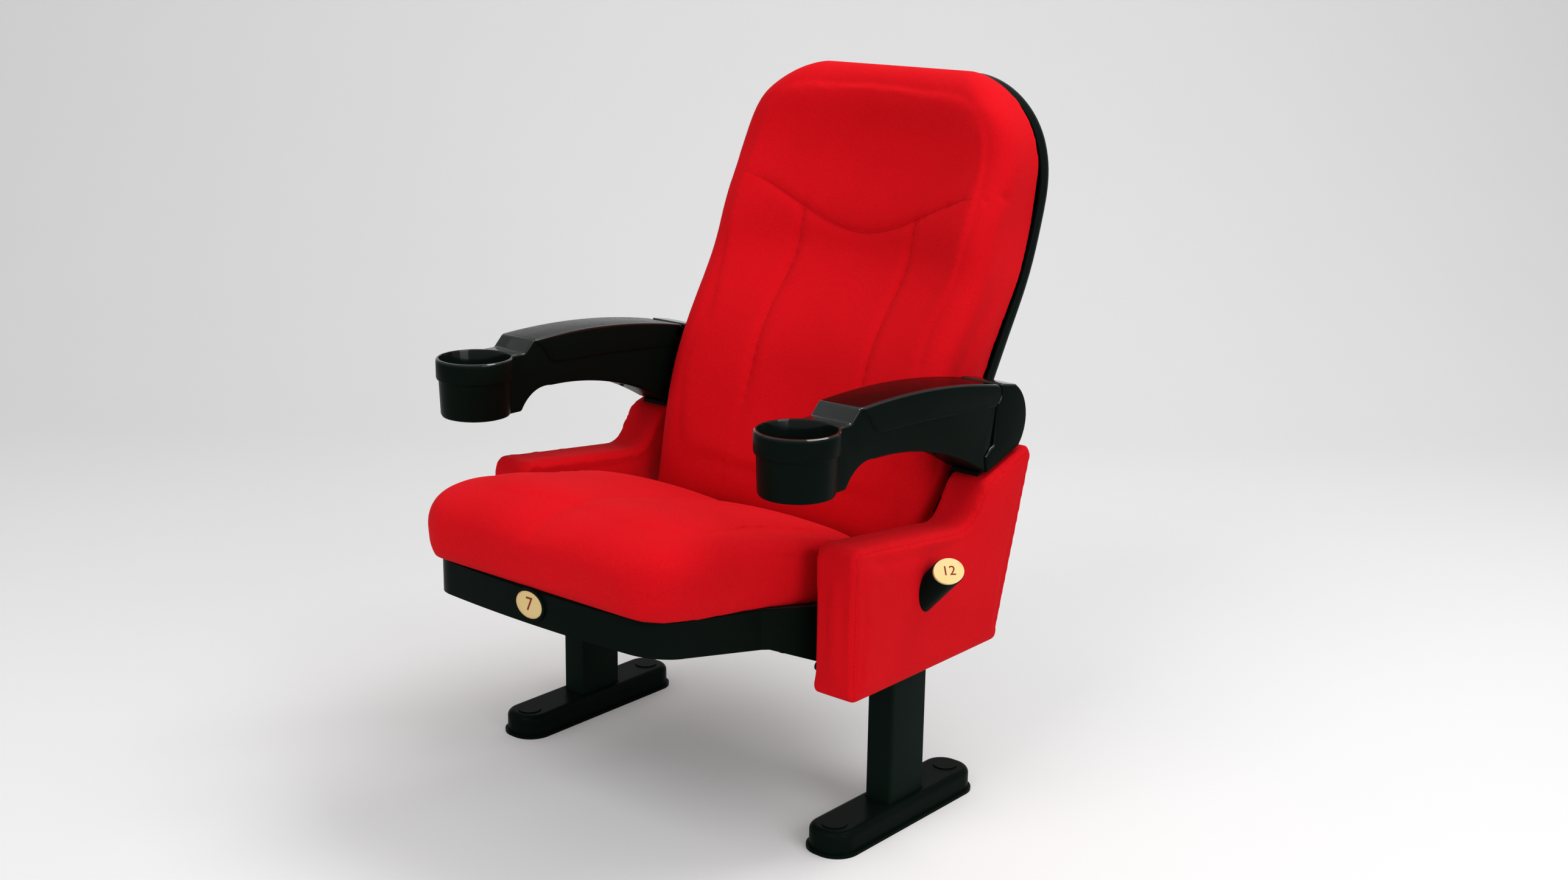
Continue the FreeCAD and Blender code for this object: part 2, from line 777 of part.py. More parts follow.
def build_arm(name, side):
    """The lifting arm: its shell with the cup, its lower cover, bushes and cap."""
    x = leg_x * side
    beam = side_plate(f"arm_beam_{name}", arm_outline(), s.arm_width, x)
    half = s.arm_width / 2
    rim = on_level("X", half, -half)

    def on_crown(edge):
        span = edge.BoundBox
        return rim(edge) and span.ZMax > s.arm_step_z.value - 0.01 and span.YLength > s.arm_width.value

    round_edges(beam, s.arm_edge_round, on_crown)
    cup_base = (x, s.cup_centre, s.cup_bottom)
    band_z = s.arm_shelf_z - s.cup_band_height
    bowl_radius = s.cup_rim_radius - s.cup_band_step
    bowl = taper(f"cup_bowl_{name}", cup_base, s.cup_foot_radius, bowl_radius, s.arm_shelf_z - s.cup_bottom)
    band = rod(f"cup_band_{name}", (x, s.cup_centre, band_z), s.cup_rim_radius, s.cup_band_height, UPRIGHT)
    hollow = taper(f"cup_hollow_{name}", (x, s.cup_centre, s.cup_bottom + s.cup_wall),
                   s.cup_foot_radius - s.cup_wall, bowl_radius - s.cup_wall / 2,
                   s.arm_step_z - s.cup_bottom)
    cover_front, cover_rear = s.arm_cover_front, s.arm_cover_rear
    inner = s.arm_width - s.arm_wall * 2
    low = s.arm_arch_top - s.arm_arch_corner * 2
    room_top = s.arm_arch_top + s.arm_knuckle_radius * 2
    room = side_plate(f"arm_room_{name}",
                      [(cover_front, low), (cover_rear, low),
                       (cover_rear, s.arm_end_z - s.arm_knuckle_radius * 2), (cover_front, room_top)],
                      inner, x)
    slot_depth = s.arm_knuckle_radius * 2
    slot = box(f"arm_slot_{name}", (x, pivot_y + slot_depth / 2, pivot_z - slot_depth * 1.2),
               s.arm_bracket_thickness + s.thrust_gap * 2, slot_depth, slot_depth * 2.4)
    eye_room = rod(f"arm_eye_room_{name}", (x - s.arm_bracket_thickness / 2 - s.thrust_gap, pivot_y, pivot_z),
                   s.arm_bracket_eye + s.slip_gap, s.arm_bracket_thickness + s.thrust_gap * 2)
    bush_outer = s.arm_pin_radius + s.arm_bush_wall
    inner_reach = half + s.arm_pin_length / 2
    pin_start = outward(side, leg_x - half, inner_reach)
    pin_room = rod(f"arm_pin_room_{name}", (pin_start, pivot_y, pivot_z), s.arm_pin_radius + s.slip_gap,
                   inner_reach)
    cap_start = (outward(side, leg_x - half, s.arm_cap_thickness), pivot_y, pivot_z)
    cap_room = rod(f"arm_cap_room_{name}", cap_start, s.arm_cap_radius, s.arm_cap_thickness)
    bushes = []
    bush_rooms = []
    for end in (-1, 1):
        near = s.arm_bracket_thickness / 2 + s.thrust_gap
        start = (x + near if end > 0 else x - near - s.arm_bush_length, pivot_y, pivot_z)
        bushes.append(ring(f"arm_bush_{name}_{end + 1}", start, s.arm_pin_radius + s.running_gap, bush_outer,
                           s.arm_bush_length))
        bush_rooms.append(rod(f"arm_bush_room_{name}_{end + 1}", start, bush_outer, s.arm_bush_length))
    whole = fuse(f"arm_whole_{name}", beam, bowl, band)
    keep(f"arm_shell_{name}", cut(f"arm_shell_cut_{name}", whole, hollow, room, slot, eye_room, pin_room,
                                  cap_room, *bush_rooms))
    keep(f"arm_bushes_{name}", group(f"arm_bush_pair_{name}", *bushes))
    keep(f"arm_pin_cap_{name}", rod(f"arm_cap_{name}", cap_start, s.arm_cap_radius, s.arm_cap_thickness))
    strip = side_plate(f"arm_strip_{name}", arm_outline(), inner - s.slip_gap * 2, x)
    lift = side_plate(f"arm_strip_top_{name}", arm_outline(), s.arm_width, x)
    bind(lift, **{"Placement.Base.z": s.arm_cover_thickness})
    window = box(f"arm_strip_window_{name}", (x, (cover_front + cover_rear) / 2, low), s.arm_width,
                 cover_rear - cover_front - s.slip_gap * 2, s.arm_arch_corner * 2.2)
    cover = common(f"arm_cover_part_{name}", cut(f"arm_cover_thin_{name}", strip, lift), window)
    keep(f"arm_lower_cover_{name}", cover)


def hub_point(angle):
    """A point on the hub's round back at an angle above straight back."""
    return (s.hub_centre_y + s.hub_radius * wave("cos", angle),
            s.hub_centre_z + s.hub_radius * wave("sin", angle))


def build_hub(name, side):
    """The fixed hub behind the arm: its cover, the steel bracket and the pivot pin."""
    x = leg_x * side
    gap = s.arm_gap
    relief = s.arm_knuckle_radius + gap
    foot = (s.arm_tip_y + gap, slope(s.arm_tip_y + gap) + plate_rise)
    rear_y = s.hub_centre_y + s.hub_radius * wave("cos", s.hub_low_angle)
    rear_foot = (rear_y, slope(rear_y) + plate_rise)
    far = hub_point(s.hub_far_angle)
    top = hub_point(s.hub_top_angle)
    notch = (pivot_y + relief, s.arm_end_z - gap)
    back = knuckle(0, relief)
    below = knuckle(KNUCKLE_FOOT, relief)
    middle = knuckle(KNUCKLE_FOOT / 2, relief)
    outline = [foot, rear_foot, (*far, "arc"), top, notch, back, (*middle, "arc"), below,
               (s.arm_heel_y + s.arm_slit, s.arm_heel_z + gap), (s.arm_heel_y + gap, s.arm_heel_z - gap),
               (s.arm_jog_y + gap, s.arm_jog_z - gap)]
    cover = side_plate(f"hub_block_{name}", outline, s.arm_width, x)
    neck_foot = s.frame_head_front + s.arm_gap * 10
    neck_rear = s.frame_head_rear
    neck = [(neck_foot, slope(neck_foot) + plate_rise), (neck_rear, slope(neck_rear) + plate_rise),
            (s.hub_centre_y + s.hub_radius / 3, s.hub_centre_z), knuckle(60, s.arm_bracket_eye),
            knuckle(-75, s.arm_bracket_eye)]
    room = [(neck_foot - s.slip_gap * 2, slope(neck_foot)), (neck_rear + s.slip_gap * 2, slope(neck_rear)),
            (s.hub_centre_y + s.hub_radius / 2, s.hub_centre_z),
            (s.hub_centre_y, s.hub_centre_z + s.hub_radius * 0.8),
            (pivot_y, pivot_z + s.arm_bracket_eye), (pivot_y, pivot_z - relief * 2)]
    slot = side_plate(f"hub_room_{name}", room, s.arm_bracket_thickness + s.slip_gap * 2, x)
    keep(f"arm_hub_cover_{name}", cut(f"hub_cut_{name}", cover, slot))
    post = side_plate(f"bracket_neck_{name}", neck, s.arm_bracket_thickness, x)
    eye_start = (x - s.arm_bracket_thickness / 2, pivot_y, pivot_z)
    eye = rod(f"bracket_eye_{name}", eye_start, s.arm_bracket_eye, s.arm_bracket_thickness)
    hole = rod(f"bracket_hole_{name}", eye_start, s.arm_pin_radius, s.arm_bracket_thickness)
    keep(f"arm_bracket_{name}", cut(f"bracket_cut_{name}", fuse(f"bracket_weld_{name}", post, eye), hole))
    keep(f"arm_pivot_pin_{name}", rod(f"arm_pin_{name}", (x - s.arm_pin_length / 2, pivot_y, pivot_z),
                                      s.arm_pin_radius, s.arm_pin_length))


# Seat


def seat_plan(inset):
    """Plan outline of the seat pan, drawn in by an inset."""
    front = s.seat_front + inset
    flat = s.pan_front_half - s.seat_corner_inset
    corner_y = s.seat_front + s.seat_front_bow + inset
    half = s.pan_front_half - inset
    turn_y = s.seat_front + s.seat_front_bow + s.seat_corner_length + inset
    bend = (flat + s.seat_corner_inset * 0.7 - inset * 0.7, corner_y + s.seat_corner_length * 0.3)
    waist = (s.pan_waist_half - inset, s.pan_waist_y)
    shoulder = (s.pan_rear_half - inset, s.pan_shoulder_y)
    rear = (s.pan_rear_half - inset, s.seat_pivot_y + s.pan_rear_radius * 2)
    right = [(flat, corner_y), (*bend, "arc"), (half, turn_y), waist, shoulder, rear]
    left = [(-shoulder[0], rear[1]), (-shoulder[0], shoulder[1]), (-waist[0], waist[1]), (-half, turn_y),
            (-bend[0], bend[1], "arc"), (-flat, corner_y), (0, front, "arc")]
    return right + left


def pan_profile(inset, head):
    """Side outline of the pan's body, drawn in by an inset, up to a height above the pan's edge."""
    front = s.seat_front - s.seat_nose
    radius = s.pan_rear_radius - inset
    rear_y = s.seat_pivot_y + radius * wave("cos", s.pan_rear_angle)
    rear_z = s.seat_pivot_z - radius * wave("sin", s.pan_rear_angle)
    round_y = s.seat_pivot_y + radius * wave("cos", 45)
    round_z = s.seat_pivot_z - radius * wave("sin", 45)
    return [(front, pan_edge(front) + head), (front, s.pan_edge_z - s.pan_front_height + inset),
            (s.pan_belly_front_y, s.pan_belly_front_z + inset),
            (s.pan_belly_rear_y, s.pan_belly_rear_z + inset),
            (s.seat_pivot_y, s.seat_pivot_z - radius), (round_y, round_z, "arc"),
            (rear_y, rear_z), (rear_y, pan_edge(rear_y) + head)]


def eye_rooms(name):
    """Space round the two pivot eyes of the seat frame."""
    near = seat_side_near - s.slip_gap
    length = s.pan_rear_half - near
    rooms = []
    for end, side in SIDES.items():
        start = (outward(side, near, length), s.seat_pivot_y, s.seat_pivot_z)
        rooms.append(rod(f"{name}_eye_room_{end}", start, s.seat_eye_radius + s.slip_gap, length))
    return rooms


def build_seat_pan():
    """The moulded pan under the seat, with the board that closes it."""
    tall = s.pan_edge_z + s.pan_front_height
    width = s.pan_rear_half * 2
    outer = common("pan_outer", plan_plate("pan_plan", seat_plan(sized(0)), 0, tall),
                   side_plate("pan_side", pan_profile(sized(0), 0), width, 0))
    wall = s.pan_wall
    inner = common("pan_inner", plan_plate("pan_room_plan", seat_plan(wall), 0, tall),
                   side_plate("pan_room_side", pan_profile(wall, s.seat_board_thickness), width, 0))
    hole = rod("pan_pin_hole", (-s.pan_rear_half, s.seat_pivot_y, s.seat_pivot_z),
               s.seat_pin_radius + s.slip_gap, width)
    keep("seat_pan", cut("pan_cut", outer, inner, hole))
    inside = s.pan_rear_radius - wall
    front, rear = s.seat_front, s.seat_pivot_y + inside * wave("cos", s.pan_rear_angle) - s.seat_board_gap
    depth = s.seat_board_thickness
    slab = side_plate("board_side", [(front, pan_edge(front)), (front, pan_edge(front) - depth),
                                     (rear, pan_edge(rear) - depth), (rear, pan_edge(rear))], width, 0)
    plan = plan_plate("board_plan", seat_plan(wall + s.seat_board_gap), 0, tall)
    keep("seat_board", cut("seat_board_cut", common("seat_board_part", slab, plan), *eye_rooms("board")))


def build_seat_frame():
    """The steel seat frame, its pivot pins and the friction washers."""
    depth = s.seat_board_thickness
    outer = seat_side_near + s.seat_side_thickness
    front = s.pan_shoulder_y + s.seat_tube_radius
    rear = s.seat_pivot_y + s.seat_tube_radius * 2
    low = s.seat_pivot_z - s.seat_tube_radius * 2
    parts = []
    for name, side in SIDES.items():
        parts.append(side_plate(f"seat_side_{name}",
                                [(front, pan_edge(front) - depth), (front, low), (rear, low),
                                 (rear, pan_edge(rear) - depth)],
                                s.seat_side_thickness, (outer - s.seat_side_thickness / 2) * side))
        eye_start = (outward(side, seat_side_near, s.seat_side_thickness), s.seat_pivot_y, s.seat_pivot_z)
        parts.append(rod(f"seat_eye_{name}", eye_start, s.seat_eye_radius, s.seat_side_thickness))
        rail_front = s.seat_front + s.seat_front_bow + s.seat_corner_length
        rail_rear = front + s.seat_tube_radius * 2
        high = depth + s.seat_rail_width
        parts.append(side_plate(f"seat_rail_{name}",
                                [(rail_front, pan_edge(rail_front) - depth),
                                 (rail_front, pan_edge(rail_front) - high),
                                 (rail_rear, pan_edge(rail_rear) - high),
                                 (rail_rear, pan_edge(rail_rear) - depth)],
                                s.seat_rail_width, s.seat_rail_place * side))
    tube_y = front + s.seat_tube_radius
    tube_z = pan_edge(tube_y) - depth - s.seat_rail_width
    parts.append(rod("seat_tube", (-outer, tube_y, tube_z), s.seat_tube_radius, outer * 2))
    weld = fuse("seat_weld", *parts)
    pin_holes = rod("seat_pin_holes", (-outer, s.seat_pivot_y, s.seat_pivot_z), s.seat_pin_radius, outer * 2)
    keep("seat_frame", cut("seat_frame_cut", weld, pin_holes))
    washers = []
    for name, side in SIDES.items():
        length = frame_inner - s.slip_gap - seat_side_near
        start = (outward(side, seat_side_near, length), s.seat_pivot_y, s.seat_pivot_z)
        keep(f"seat_pivot_pin_{name}", rod(f"seat_pin_{name}", start, s.seat_pin_radius, length))
        thick = s.bearing_face - s.pan_rear_half - s.thrust_gap
        washer_start = (outward(side, s.pan_rear_half, thick), s.seat_pivot_y, s.seat_pivot_z)
        washers.append(ring(f"washer_{name}", washer_start, s.seat_pin_radius, s.washer_radius, thick))
    keep("seat_friction_washers", group("washer_pair", *washers))


def oval(name, centre, length, height, thickness):
    """An oval plate that faces forward, standing out from a centre on its back."""
    edge = doc.addObject("Part::Ellipse", f"{name}_edge")
    bind(edge, MajorRadius=sized(length) / 2, MinorRadius=sized(height) / 2)
    place(edge, *centre, turn=Rotation(Vector(1, 0, 0), 90))
    plate = doc.addObject("Part::Extrusion", name)
    plate.Base = edge
    plate.DirMode = "Custom"
    plate.Dir = Vector(0, -1, 0)
    plate.Solid = True
    bind(plate, LengthFwd=thickness)
    return plate


def build_badge():
    """The bezel and number plate on the pan's front."""
    z = pan_edge(s.seat_front) - s.badge_drop
    ring_plate = oval("bezel_plate", (0, s.seat_front, z), s.badge_length + s.bezel_margin * 2,
                      s.badge_height + s.bezel_margin * 2, s.bezel_thickness)
    opening = oval("bezel_opening", (0, s.seat_front, z), s.badge_length, s.badge_height, s.bezel_thickness)
    keep("seat_plate_bezel", cut("bezel_cut", ring_plate, opening))
    keep("seat_number_plate", oval("badge_plate", (0, s.seat_front, z), s.badge_length, s.badge_height,
                                   s.badge_thickness))


# Soft forms


def joined_wire(points):
    """A closed wire of corners (x, y, z). An arc to the next corner passes a point (x, y, z, "arc")."""
    corners = []
    middles = {}
    for point in points:
        if len(point) == 4:
            middles[len(corners) - 1] = Vector(*point[:3])
        else:
            corners.append(Vector(*point))
    edges = []
    for index, here in enumerate(corners):
        beyond = corners[(index + 1) % len(corners)]
        if index in middles:
            edges.append(Part.Arc(here, middles[index], beyond).toShape())
        else:
            edges.append(Part.LineSegment(here, beyond).toShape())
    return Part.Wire(edges)


def swell(angle, power=4.4):
    """A point of a rounded quarter outline, as shares of its half width and height."""
    turn = math.radians(angle)
    return math.cos(turn) ** (2 / power), math.sin(turn) ** (2 / power)


def seat_section(y, half, low, high, dish, tuck):
    """One cross-section of the seat cushion: drawn-in sides, round shoulders and a dished crown."""
    waist = low + (high - low) * 0.4
    side = [(half - tuck, y, low), (half - tuck * 0.25, y, low + (waist - low) * 0.45, "arc"),
            (half, y, waist)]
    crown = []
    for angle, kind in ((22, "arc"), (45, None), (66, "arc")):
        across, up = swell(angle)
        sink = dish * (1 - across) ** 2
        point = (half * across, y, waist + (high - waist) * up - sink)
        crown.append(point + ("arc",) if kind else point)
    right = side + crown
    top = (0, y, high - dish)
    corners = [point for point in right if len(point) == 3]
    arcs = [point for point in right if len(point) == 4]
    left = [top]
    for corner, arc in zip(reversed(corners), reversed(arcs)):
        left.append((-arc[0], arc[1], arc[2], "arc"))
        left.append((-corner[0], corner[1], corner[2]))
    return joined_wire(right + left)


# Share of the nose's run, then of its half width, its fall from the crown and the lift of its underside
NOSE_STATIONS = (
    (0.02, 0.71, 0.42, 0.24),
    (0.12, 0.83, 0.25, 0.04),
    (0.28, 0.91, 0.12, 0.0),
    (0.55, 0.97, 0.03, 0.0),
    (1.0, 1.0, 0.0, 0.0),
)


def build_seat_cushion():
    """The seat cushion: a full nose, a raised crown and a top that falls away to the rear."""
    front = s.seat_front.value - s.seat_nose.value
    half, rear_half = s.seat_half.value, s.seat_rear_half.value
    crown_y, rear_y = s.seat_crown_y.value, s.seat_rear_y.value
    tuck, rear_tuck = s.seat_tuck.value, s.seat_rear_tuck.value
    run = crown_y - front
    stations = []
    for share, wide, fall, lift in NOSE_STATIONS:
        y = front + run * share
        base = pan_edge(sized(y)).value
        rise = s.seat_crown_z.value - base
        stations.append((y, half * wide, base + rise * lift, s.seat_crown_z.value - rise * fall, tuck))
    span = rear_y - crown_y
    rest = ((0.26, s.seat_thigh_z, 0.15), (0.52, s.seat_middle_z, 0.85), (0.78, s.seat_hip_z, 1.0),
            (1.0, s.seat_rear_z, 1.0))
    for share, top, wide in rest:
        y = crown_y + span * share
        stations.append((y, half + (rear_half - half) * wide, pan_edge(sized(y)).value, top.value,
                         tuck + (rear_tuck - tuck) * wide))
    wires = []
    for y, wide, low, high, drawn_in in stations:
        dish = s.seat_dish.value * min(1, (high - low) / s.pan_front_height.value / 2)
        wires.append(seat_section(y, wide, low, high, dish, drawn_in))
    pad_block = solid("seat_pad", Part.makeLoft(wires, True, False))
    ahead, behind = s.seat_front - s.seat_nose * 2, s.seat_rear_y + s.seat_nose
    under = side_plate("seat_pad_under", [(ahead, 0), (behind, 0), (behind, pan_edge(behind)),
                                          (ahead, pan_edge(ahead))], s.seat_rear_half * 4, 0)
    keep("seat_cushion", cut("seat_pad_trimmed", pad_block, under, *eye_rooms("cushion")))


def back_plane(z):
    """Depth of the plane between cushion and shell at a height: raked, then bent, then upright."""
    bend = s.back_bend_radius.value
    drop = s.back_rear_z.value - z
    if drop <= 0:
        return s.back_rear_y.value
    if drop <= bend * lean_sine.value:
        return bend_y.value + math.sqrt(bend ** 2 - drop ** 2)
    past = drop - bend * lean_sine.value
    return bend_y.value + bend * lean_cosine.value - past * lean_sine.value / lean_cosine.value


def back_half_width(z):
    """Half width of the back at a height, drawn in round the top corners."""
    radius = s.back_corner_radius.value
    rise = max(0.0, z - (s.back_top.value - radius))
    return s.back_half.value - radius + math.sqrt(radius ** 2 - rise ** 2)


def back_section(z, front, recess, channel, spare):
    """One level slice of the back cushion: rounded bolsters, a hollow front and two sewn channels."""
    half = back_half_width(z)
    rear = back_plane(z) + spare
    bolster = min(s.back_bolster.value, (back_plane(z) - front) * 0.6)
    fall = math.atan(2 * recess / (half - bolster))
    edge = half - bolster - bolster * math.sin(fall)
    brow = front + bolster * (1 - math.cos(fall))
    round_x = half - bolster + bolster * math.sin(math.pi / 4 - fall / 2)
    round_y = front + bolster - bolster * math.cos(math.pi / 4 - fall / 2)
    place_x, wide = s.channel_place.value, s.channel_half_width.value

    def face(x):
        return brow + (recess + front - brow) * (1 - (x / edge) ** 2)

    outer = (edge + place_x + wide) / 2
    right = [(half, rear, z), (half, front + bolster, z), (round_x, round_y, z, "arc"), (edge, brow, z),
             (outer, face(outer), z, "arc"), (place_x + wide, face(place_x + wide), z),
             (place_x, face(place_x) + channel, z, "arc"), (place_x - wide, face(place_x - wide), z)]
    corners = [point for point in right if len(point) == 3]
    arcs = [corner_arc for corner_arc in right if len(corner_arc) == 4]
    left = [(0, face(0), z, "arc"), (-corners[-1][0], corners[-1][1], z)]
    for corner_point, arc in zip(reversed(corners[1:-1]), reversed(arcs)):
        left.append((-arc[0], arc[1], z, "arc"))
        left.append((-corner_point[0], corner_point[1], z))
    left.append((-half, rear, z))
    return joined_wire(right + left)


def top_levels():
    """Heights of the slices that round over the top of the back."""
    crown, top = s.back_crown_z.value, s.back_top.value
    return [(share, crown + (top - crown) * share) for share in (0.35, 0.62, 0.82, 0.93, 0.985)]


def build_back_cushion():
    """The back cushion, with its channels and the curved seam under the head."""
    recess, depth = s.back_recess.value, s.channel_depth.value
    faint = depth * 0.08
    rows = ((s.back_bottom, s.back_low_y, 0.3, faint), (s.back_waist_z, s.back_waist_y, 0.58, faint),
            (s.back_lumbar_z, s.back_lumbar_y, 0.84, depth), (s.back_middle_z, s.back_middle_y, 1.02, depth),
            (s.back_seam_z, s.back_seam_y, 1.16, depth), (s.back_head_z, s.back_head_y, 1.0, faint),
            (s.back_crown_z, s.back_crown_y, 0.78, faint))
    spare = s.board_thickness.value
    wires = [back_section(z.value, y.value, recess * share, channel, spare) for z, y, share, channel in rows]
    full = s.back_rear_y.value - s.back_crown_y.value
    for share, z in top_levels():
        thick = full * math.sqrt(1 - (share * 0.985) ** 2)
        hollow = recess * 0.78 * (1 - share * 0.95)
        wires.append(back_section(z, s.back_rear_y.value - thick, hollow, faint, spare))
    block = solid("back_block", Part.makeLoft(wires, True, False))
    body = cut("back_pad", block, back_split())
    doc.recompute()
    shape = body.Shape
    band = head_seam_band()
    sunk = shape.copy()
    sunk.translate(Vector(0, s.head_seam_depth.value, 0))
    groove = band.cut(sunk)
    keep("back_cushion", solid("back_pad_sewn", shape.cut(groove)))


def head_seam_band():
    """A band along the head seam, as wide as the seam's groove, that passes through the front of the back."""
    end, dip = s.head_seam_end_z.value, s.head_seam_dip_z.value
    turn, half = s.head_seam_turn.value, s.back_half.value
    middle = (end * 0.45 + dip * 0.55)
    wide = s.head_seam_width.value / 2
    y = s.back_low_y.value

    def edge(lift):
        return [(-half, y, end + lift), (-(half + turn) / 2, y, end - (end - middle) * 0.28 + lift, "arc"),
                (-turn, y, middle + lift), (0, y, dip + lift, "arc"), (turn, y, middle + lift),
                ((half + turn) / 2, y, end - (end - middle) * 0.28 + lift, "arc"), (half, y, end + lift)]

    upper = edge(wide)
    lower = edge(-wide)
    wire = joined_wire(lower + upper[::-1])
    return Part.Face(wire).extrude(Vector(0, s.back_rear_y.value - y, 0))


def back_split():
    """The space behind the plane between cushion and shell."""
    bend = s.back_bend_radius
    low = s.back_bottom / 2
    foot_y = bend_y + bend * lean_cosine
    foot_z = s.back_rear_z - bend * lean_sine
    low_y = foot_y - (foot_z - low) * lean_sine / lean_cosine
    half_sine, half_cosine = wave("sin", s.back_lean / 2), wave("cos", s.back_lean / 2)
    far = s.back_rear_y * 2
    high = s.back_top + s.back_corner_radius
    return side_plate(f"back_rear_space_{len(doc.Objects)}",
                      [(low_y, low), (foot_y, foot_z),
                       (bend_y + bend * half_cosine, s.back_rear_z - bend * half_sine, "arc"),
                       (s.back_rear_y, s.back_rear_z), (s.back_rear_y, high), (far, high), (far, low)],
                      s.back_half * 4, 0)


# Back


def build_back_board():
    """The curved board that carries the back cushion and the shell."""
    bend, thick = s.back_bend_radius, s.board_thickness
    foot_z = s.back_rear_z - bend * lean_sine
    foot_y = bend_y + bend * lean_cosine
    drop = (foot_z - s.board_bottom) / lean_cosine
    low = (foot_y - drop * lean_sine, s.board_bottom)
    half_sine, half_cosine = wave("sin", s.back_lean / 2), wave("cos", s.back_lean / 2)
    outer = bend + thick
    board = side_plate("back_panel", [
        low, (foot_y, foot_z),
        (bend_y + bend * half_cosine, s.back_rear_z - bend * half_sine, "arc"),
        (s.back_rear_y, s.back_rear_z), (s.back_rear_y, s.board_top),
        (s.back_rear_y + thick, s.board_top), (s.back_rear_y + thick, s.back_rear_z),
        (bend_y + outer * half_cosine, s.back_rear_z - outer * half_sine, "arc"),
        (foot_y + thick * lean_cosine, foot_z - thick * lean_sine),
        (low[0] + thick * lean_cosine, low[1] - thick * lean_sine)], s.board_half * 2, 0)
    top = s.board_top.value

    def at_top_corner(edge):
        return edge.BoundBox.ZMin > top - 1 and edge.BoundBox.XLength < 1

    round_edges(board, s.board_corner, at_top_corner)
    keep("back_board", board)


def shell_section(z, inset):
    """One level slice of the back shell's outline, drawn in by an inset, open ahead of the board's plane."""
    half = back_half_width(z + s.shell_top_drop.value) + s.shell_margin.value - inset
    plane = back_plane(z)
    front = plane - s.board_thickness.value
    low, top = s.back_lumbar_z.value, s.back_head_z.value
    share = min(1.0, max(0.0, (z - low) / (top - low)))
    ease = share * share * (3 - 2 * share)
    depth = s.shell_low_depth.value + (s.shell_top_depth.value - s.shell_low_depth.value) * ease - inset
    bulge = s.shell_bulge.value
    right = [(half, front, z), (half, plane + depth * 0.3, z),
             (half - depth * 0.2, plane + depth * 0.8, z, "arc"), (half - depth * 0.7, plane + depth, z),
             (0, plane + depth + bulge, z, "arc")]
    left = [(-(half - depth * 0.7), plane + depth, z), (-(half - depth * 0.2), plane + depth * 0.8, z, "arc"),
            (-half, plane + depth * 0.3, z), (-half, front, z)]
    return joined_wire(right + left)


def build_back_shell():
    """The moulded shell behind the back."""
    wall = s.shell_wall.value
    low, top = s.back_bottom.value, s.back_top.value - s.back_corner_radius.value
    step = (top - low) / SHELL_BAYS
    levels = [low + step * number for number in range(-1, SHELL_BAYS + 1)]
    levels += [z - s.shell_top_drop.value for _, z in top_levels()]
    block = solid("shell_block", Part.makeLoft([shell_section(z, 0) for z in levels], True, False))
    room = solid("shell_room", Part.makeLoft([shell_section(z, wall) for z in levels[:-1]], True, False))
    tall = box("shell_span", (0, s.back_rear_y, s.back_bottom), s.back_half * 3, s.back_rear_y * 2,
               s.back_top)
    rear = common("shell_rear", block, back_split(), tall)
    bars = [bracket_bar(f"shell_bracket_room_{name}", side, s.slip_gap) for name, side in SIDES.items()]
    keep("back_shell", cut("shell_cut", rear, room, *bars))
    for name, side in SIDES.items():
        keep(f"back_bracket_{name}", bracket_bar(f"bracket_bar_{name}", side, sized(0)))


# Row marker


def build_marker():
    """The slanting post on the right panel, with its oval plate."""
    rise = s.marker_rise
    axis = Vector(math.cos(math.radians(rise.value)), 0, math.sin(math.radians(rise.value)))
    turn = Rotation(Vector(0, 0, 1), axis)
    up = math.radians(s.marker_face_rise.value)
    aside = math.radians(s.marker_face_turn.value)
    face = Vector(math.cos(up) * math.cos(aside), -math.cos(up) * math.sin(aside), math.sin(up))
    face_turn = Rotation(Vector(0, 0, 1), face)
    base = Vector(panel_outer.value, s.marker_y.value, s.marker_z.value)
    centre = base + axis * s.marker_length.value
    sunk = base - axis * s.marker_radius.value * 2
    reach = s.marker_length.value + s.marker_radius.value * 4

    def slab(lift, height):
        wide = s.marker_length.value * 3
        shape = Part.makeBox(wide, wide, height, Vector(-wide / 2, -wide / 2, lift))
        shape.Placement = Placement(centre, face_turn)
        return shape

    def bar(radius):
        return Part.makeCylinder(radius, reach, sunk, axis)

    thick = s.marker_plate_thickness.value
    wide = s.marker_length.value * 4
    corner = Vector(panel_outer.value - wide, base.y - wide / 2, base.z - wide / 2)
    behind = Part.makeBox(wide, wide, wide, corner)
    post = bar(s.marker_radius.value).cut(slab(0, wide)).cut(behind)
    keep("row_marker_post", solid("marker_post", post))
    plate = bar(s.marker_plate_radius.value).common(slab(0, thick))
    keep("row_marker_plate", solid("marker_plate", plate))


def check_and_write():
    """Stop if any object failed, then write every sub-part."""
    doc.recompute()
    failed = [item.Name for item in doc.Objects if "Invalid" in item.State or "Error" in item.State]
    if failed:
        raise RuntimeError(f"failed: {failed}")
    for label, item in nodes.items():
        if item.Shape.isNull() or not item.Shape.isValid():
            raise RuntimeError(f"{label} has no valid shape")
    os.makedirs("parts", exist_ok=True)
    for label, item in nodes.items():
        item.Shape.exportStep(f"parts/{label}.step")
        print(label, len(item.Shape.Solids), round(item.Shape.Volume))


for side_name, side_sign in SIDES.items():
    build_foot(side_name, side_sign)
    build_side(side_name, side_sign)
    build_arm(side_name, side_sign)
    build_hub(side_name, side_sign)
build_bolt_caps()
build_seat_pan()
build_seat_frame()
build_badge()
build_seat_cushion()
build_back_cushion()
build_back_board()
build_back_shell()
build_marker()
check_and_write()
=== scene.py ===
"""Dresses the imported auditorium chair: upholstery, mouldings, fasteners, finishes, studio and camera."""

from __future__ import annotations

import json
import logging
import math
from dataclasses import dataclass, field
from enum import Enum
from typing import Callable, Iterable, Sequence

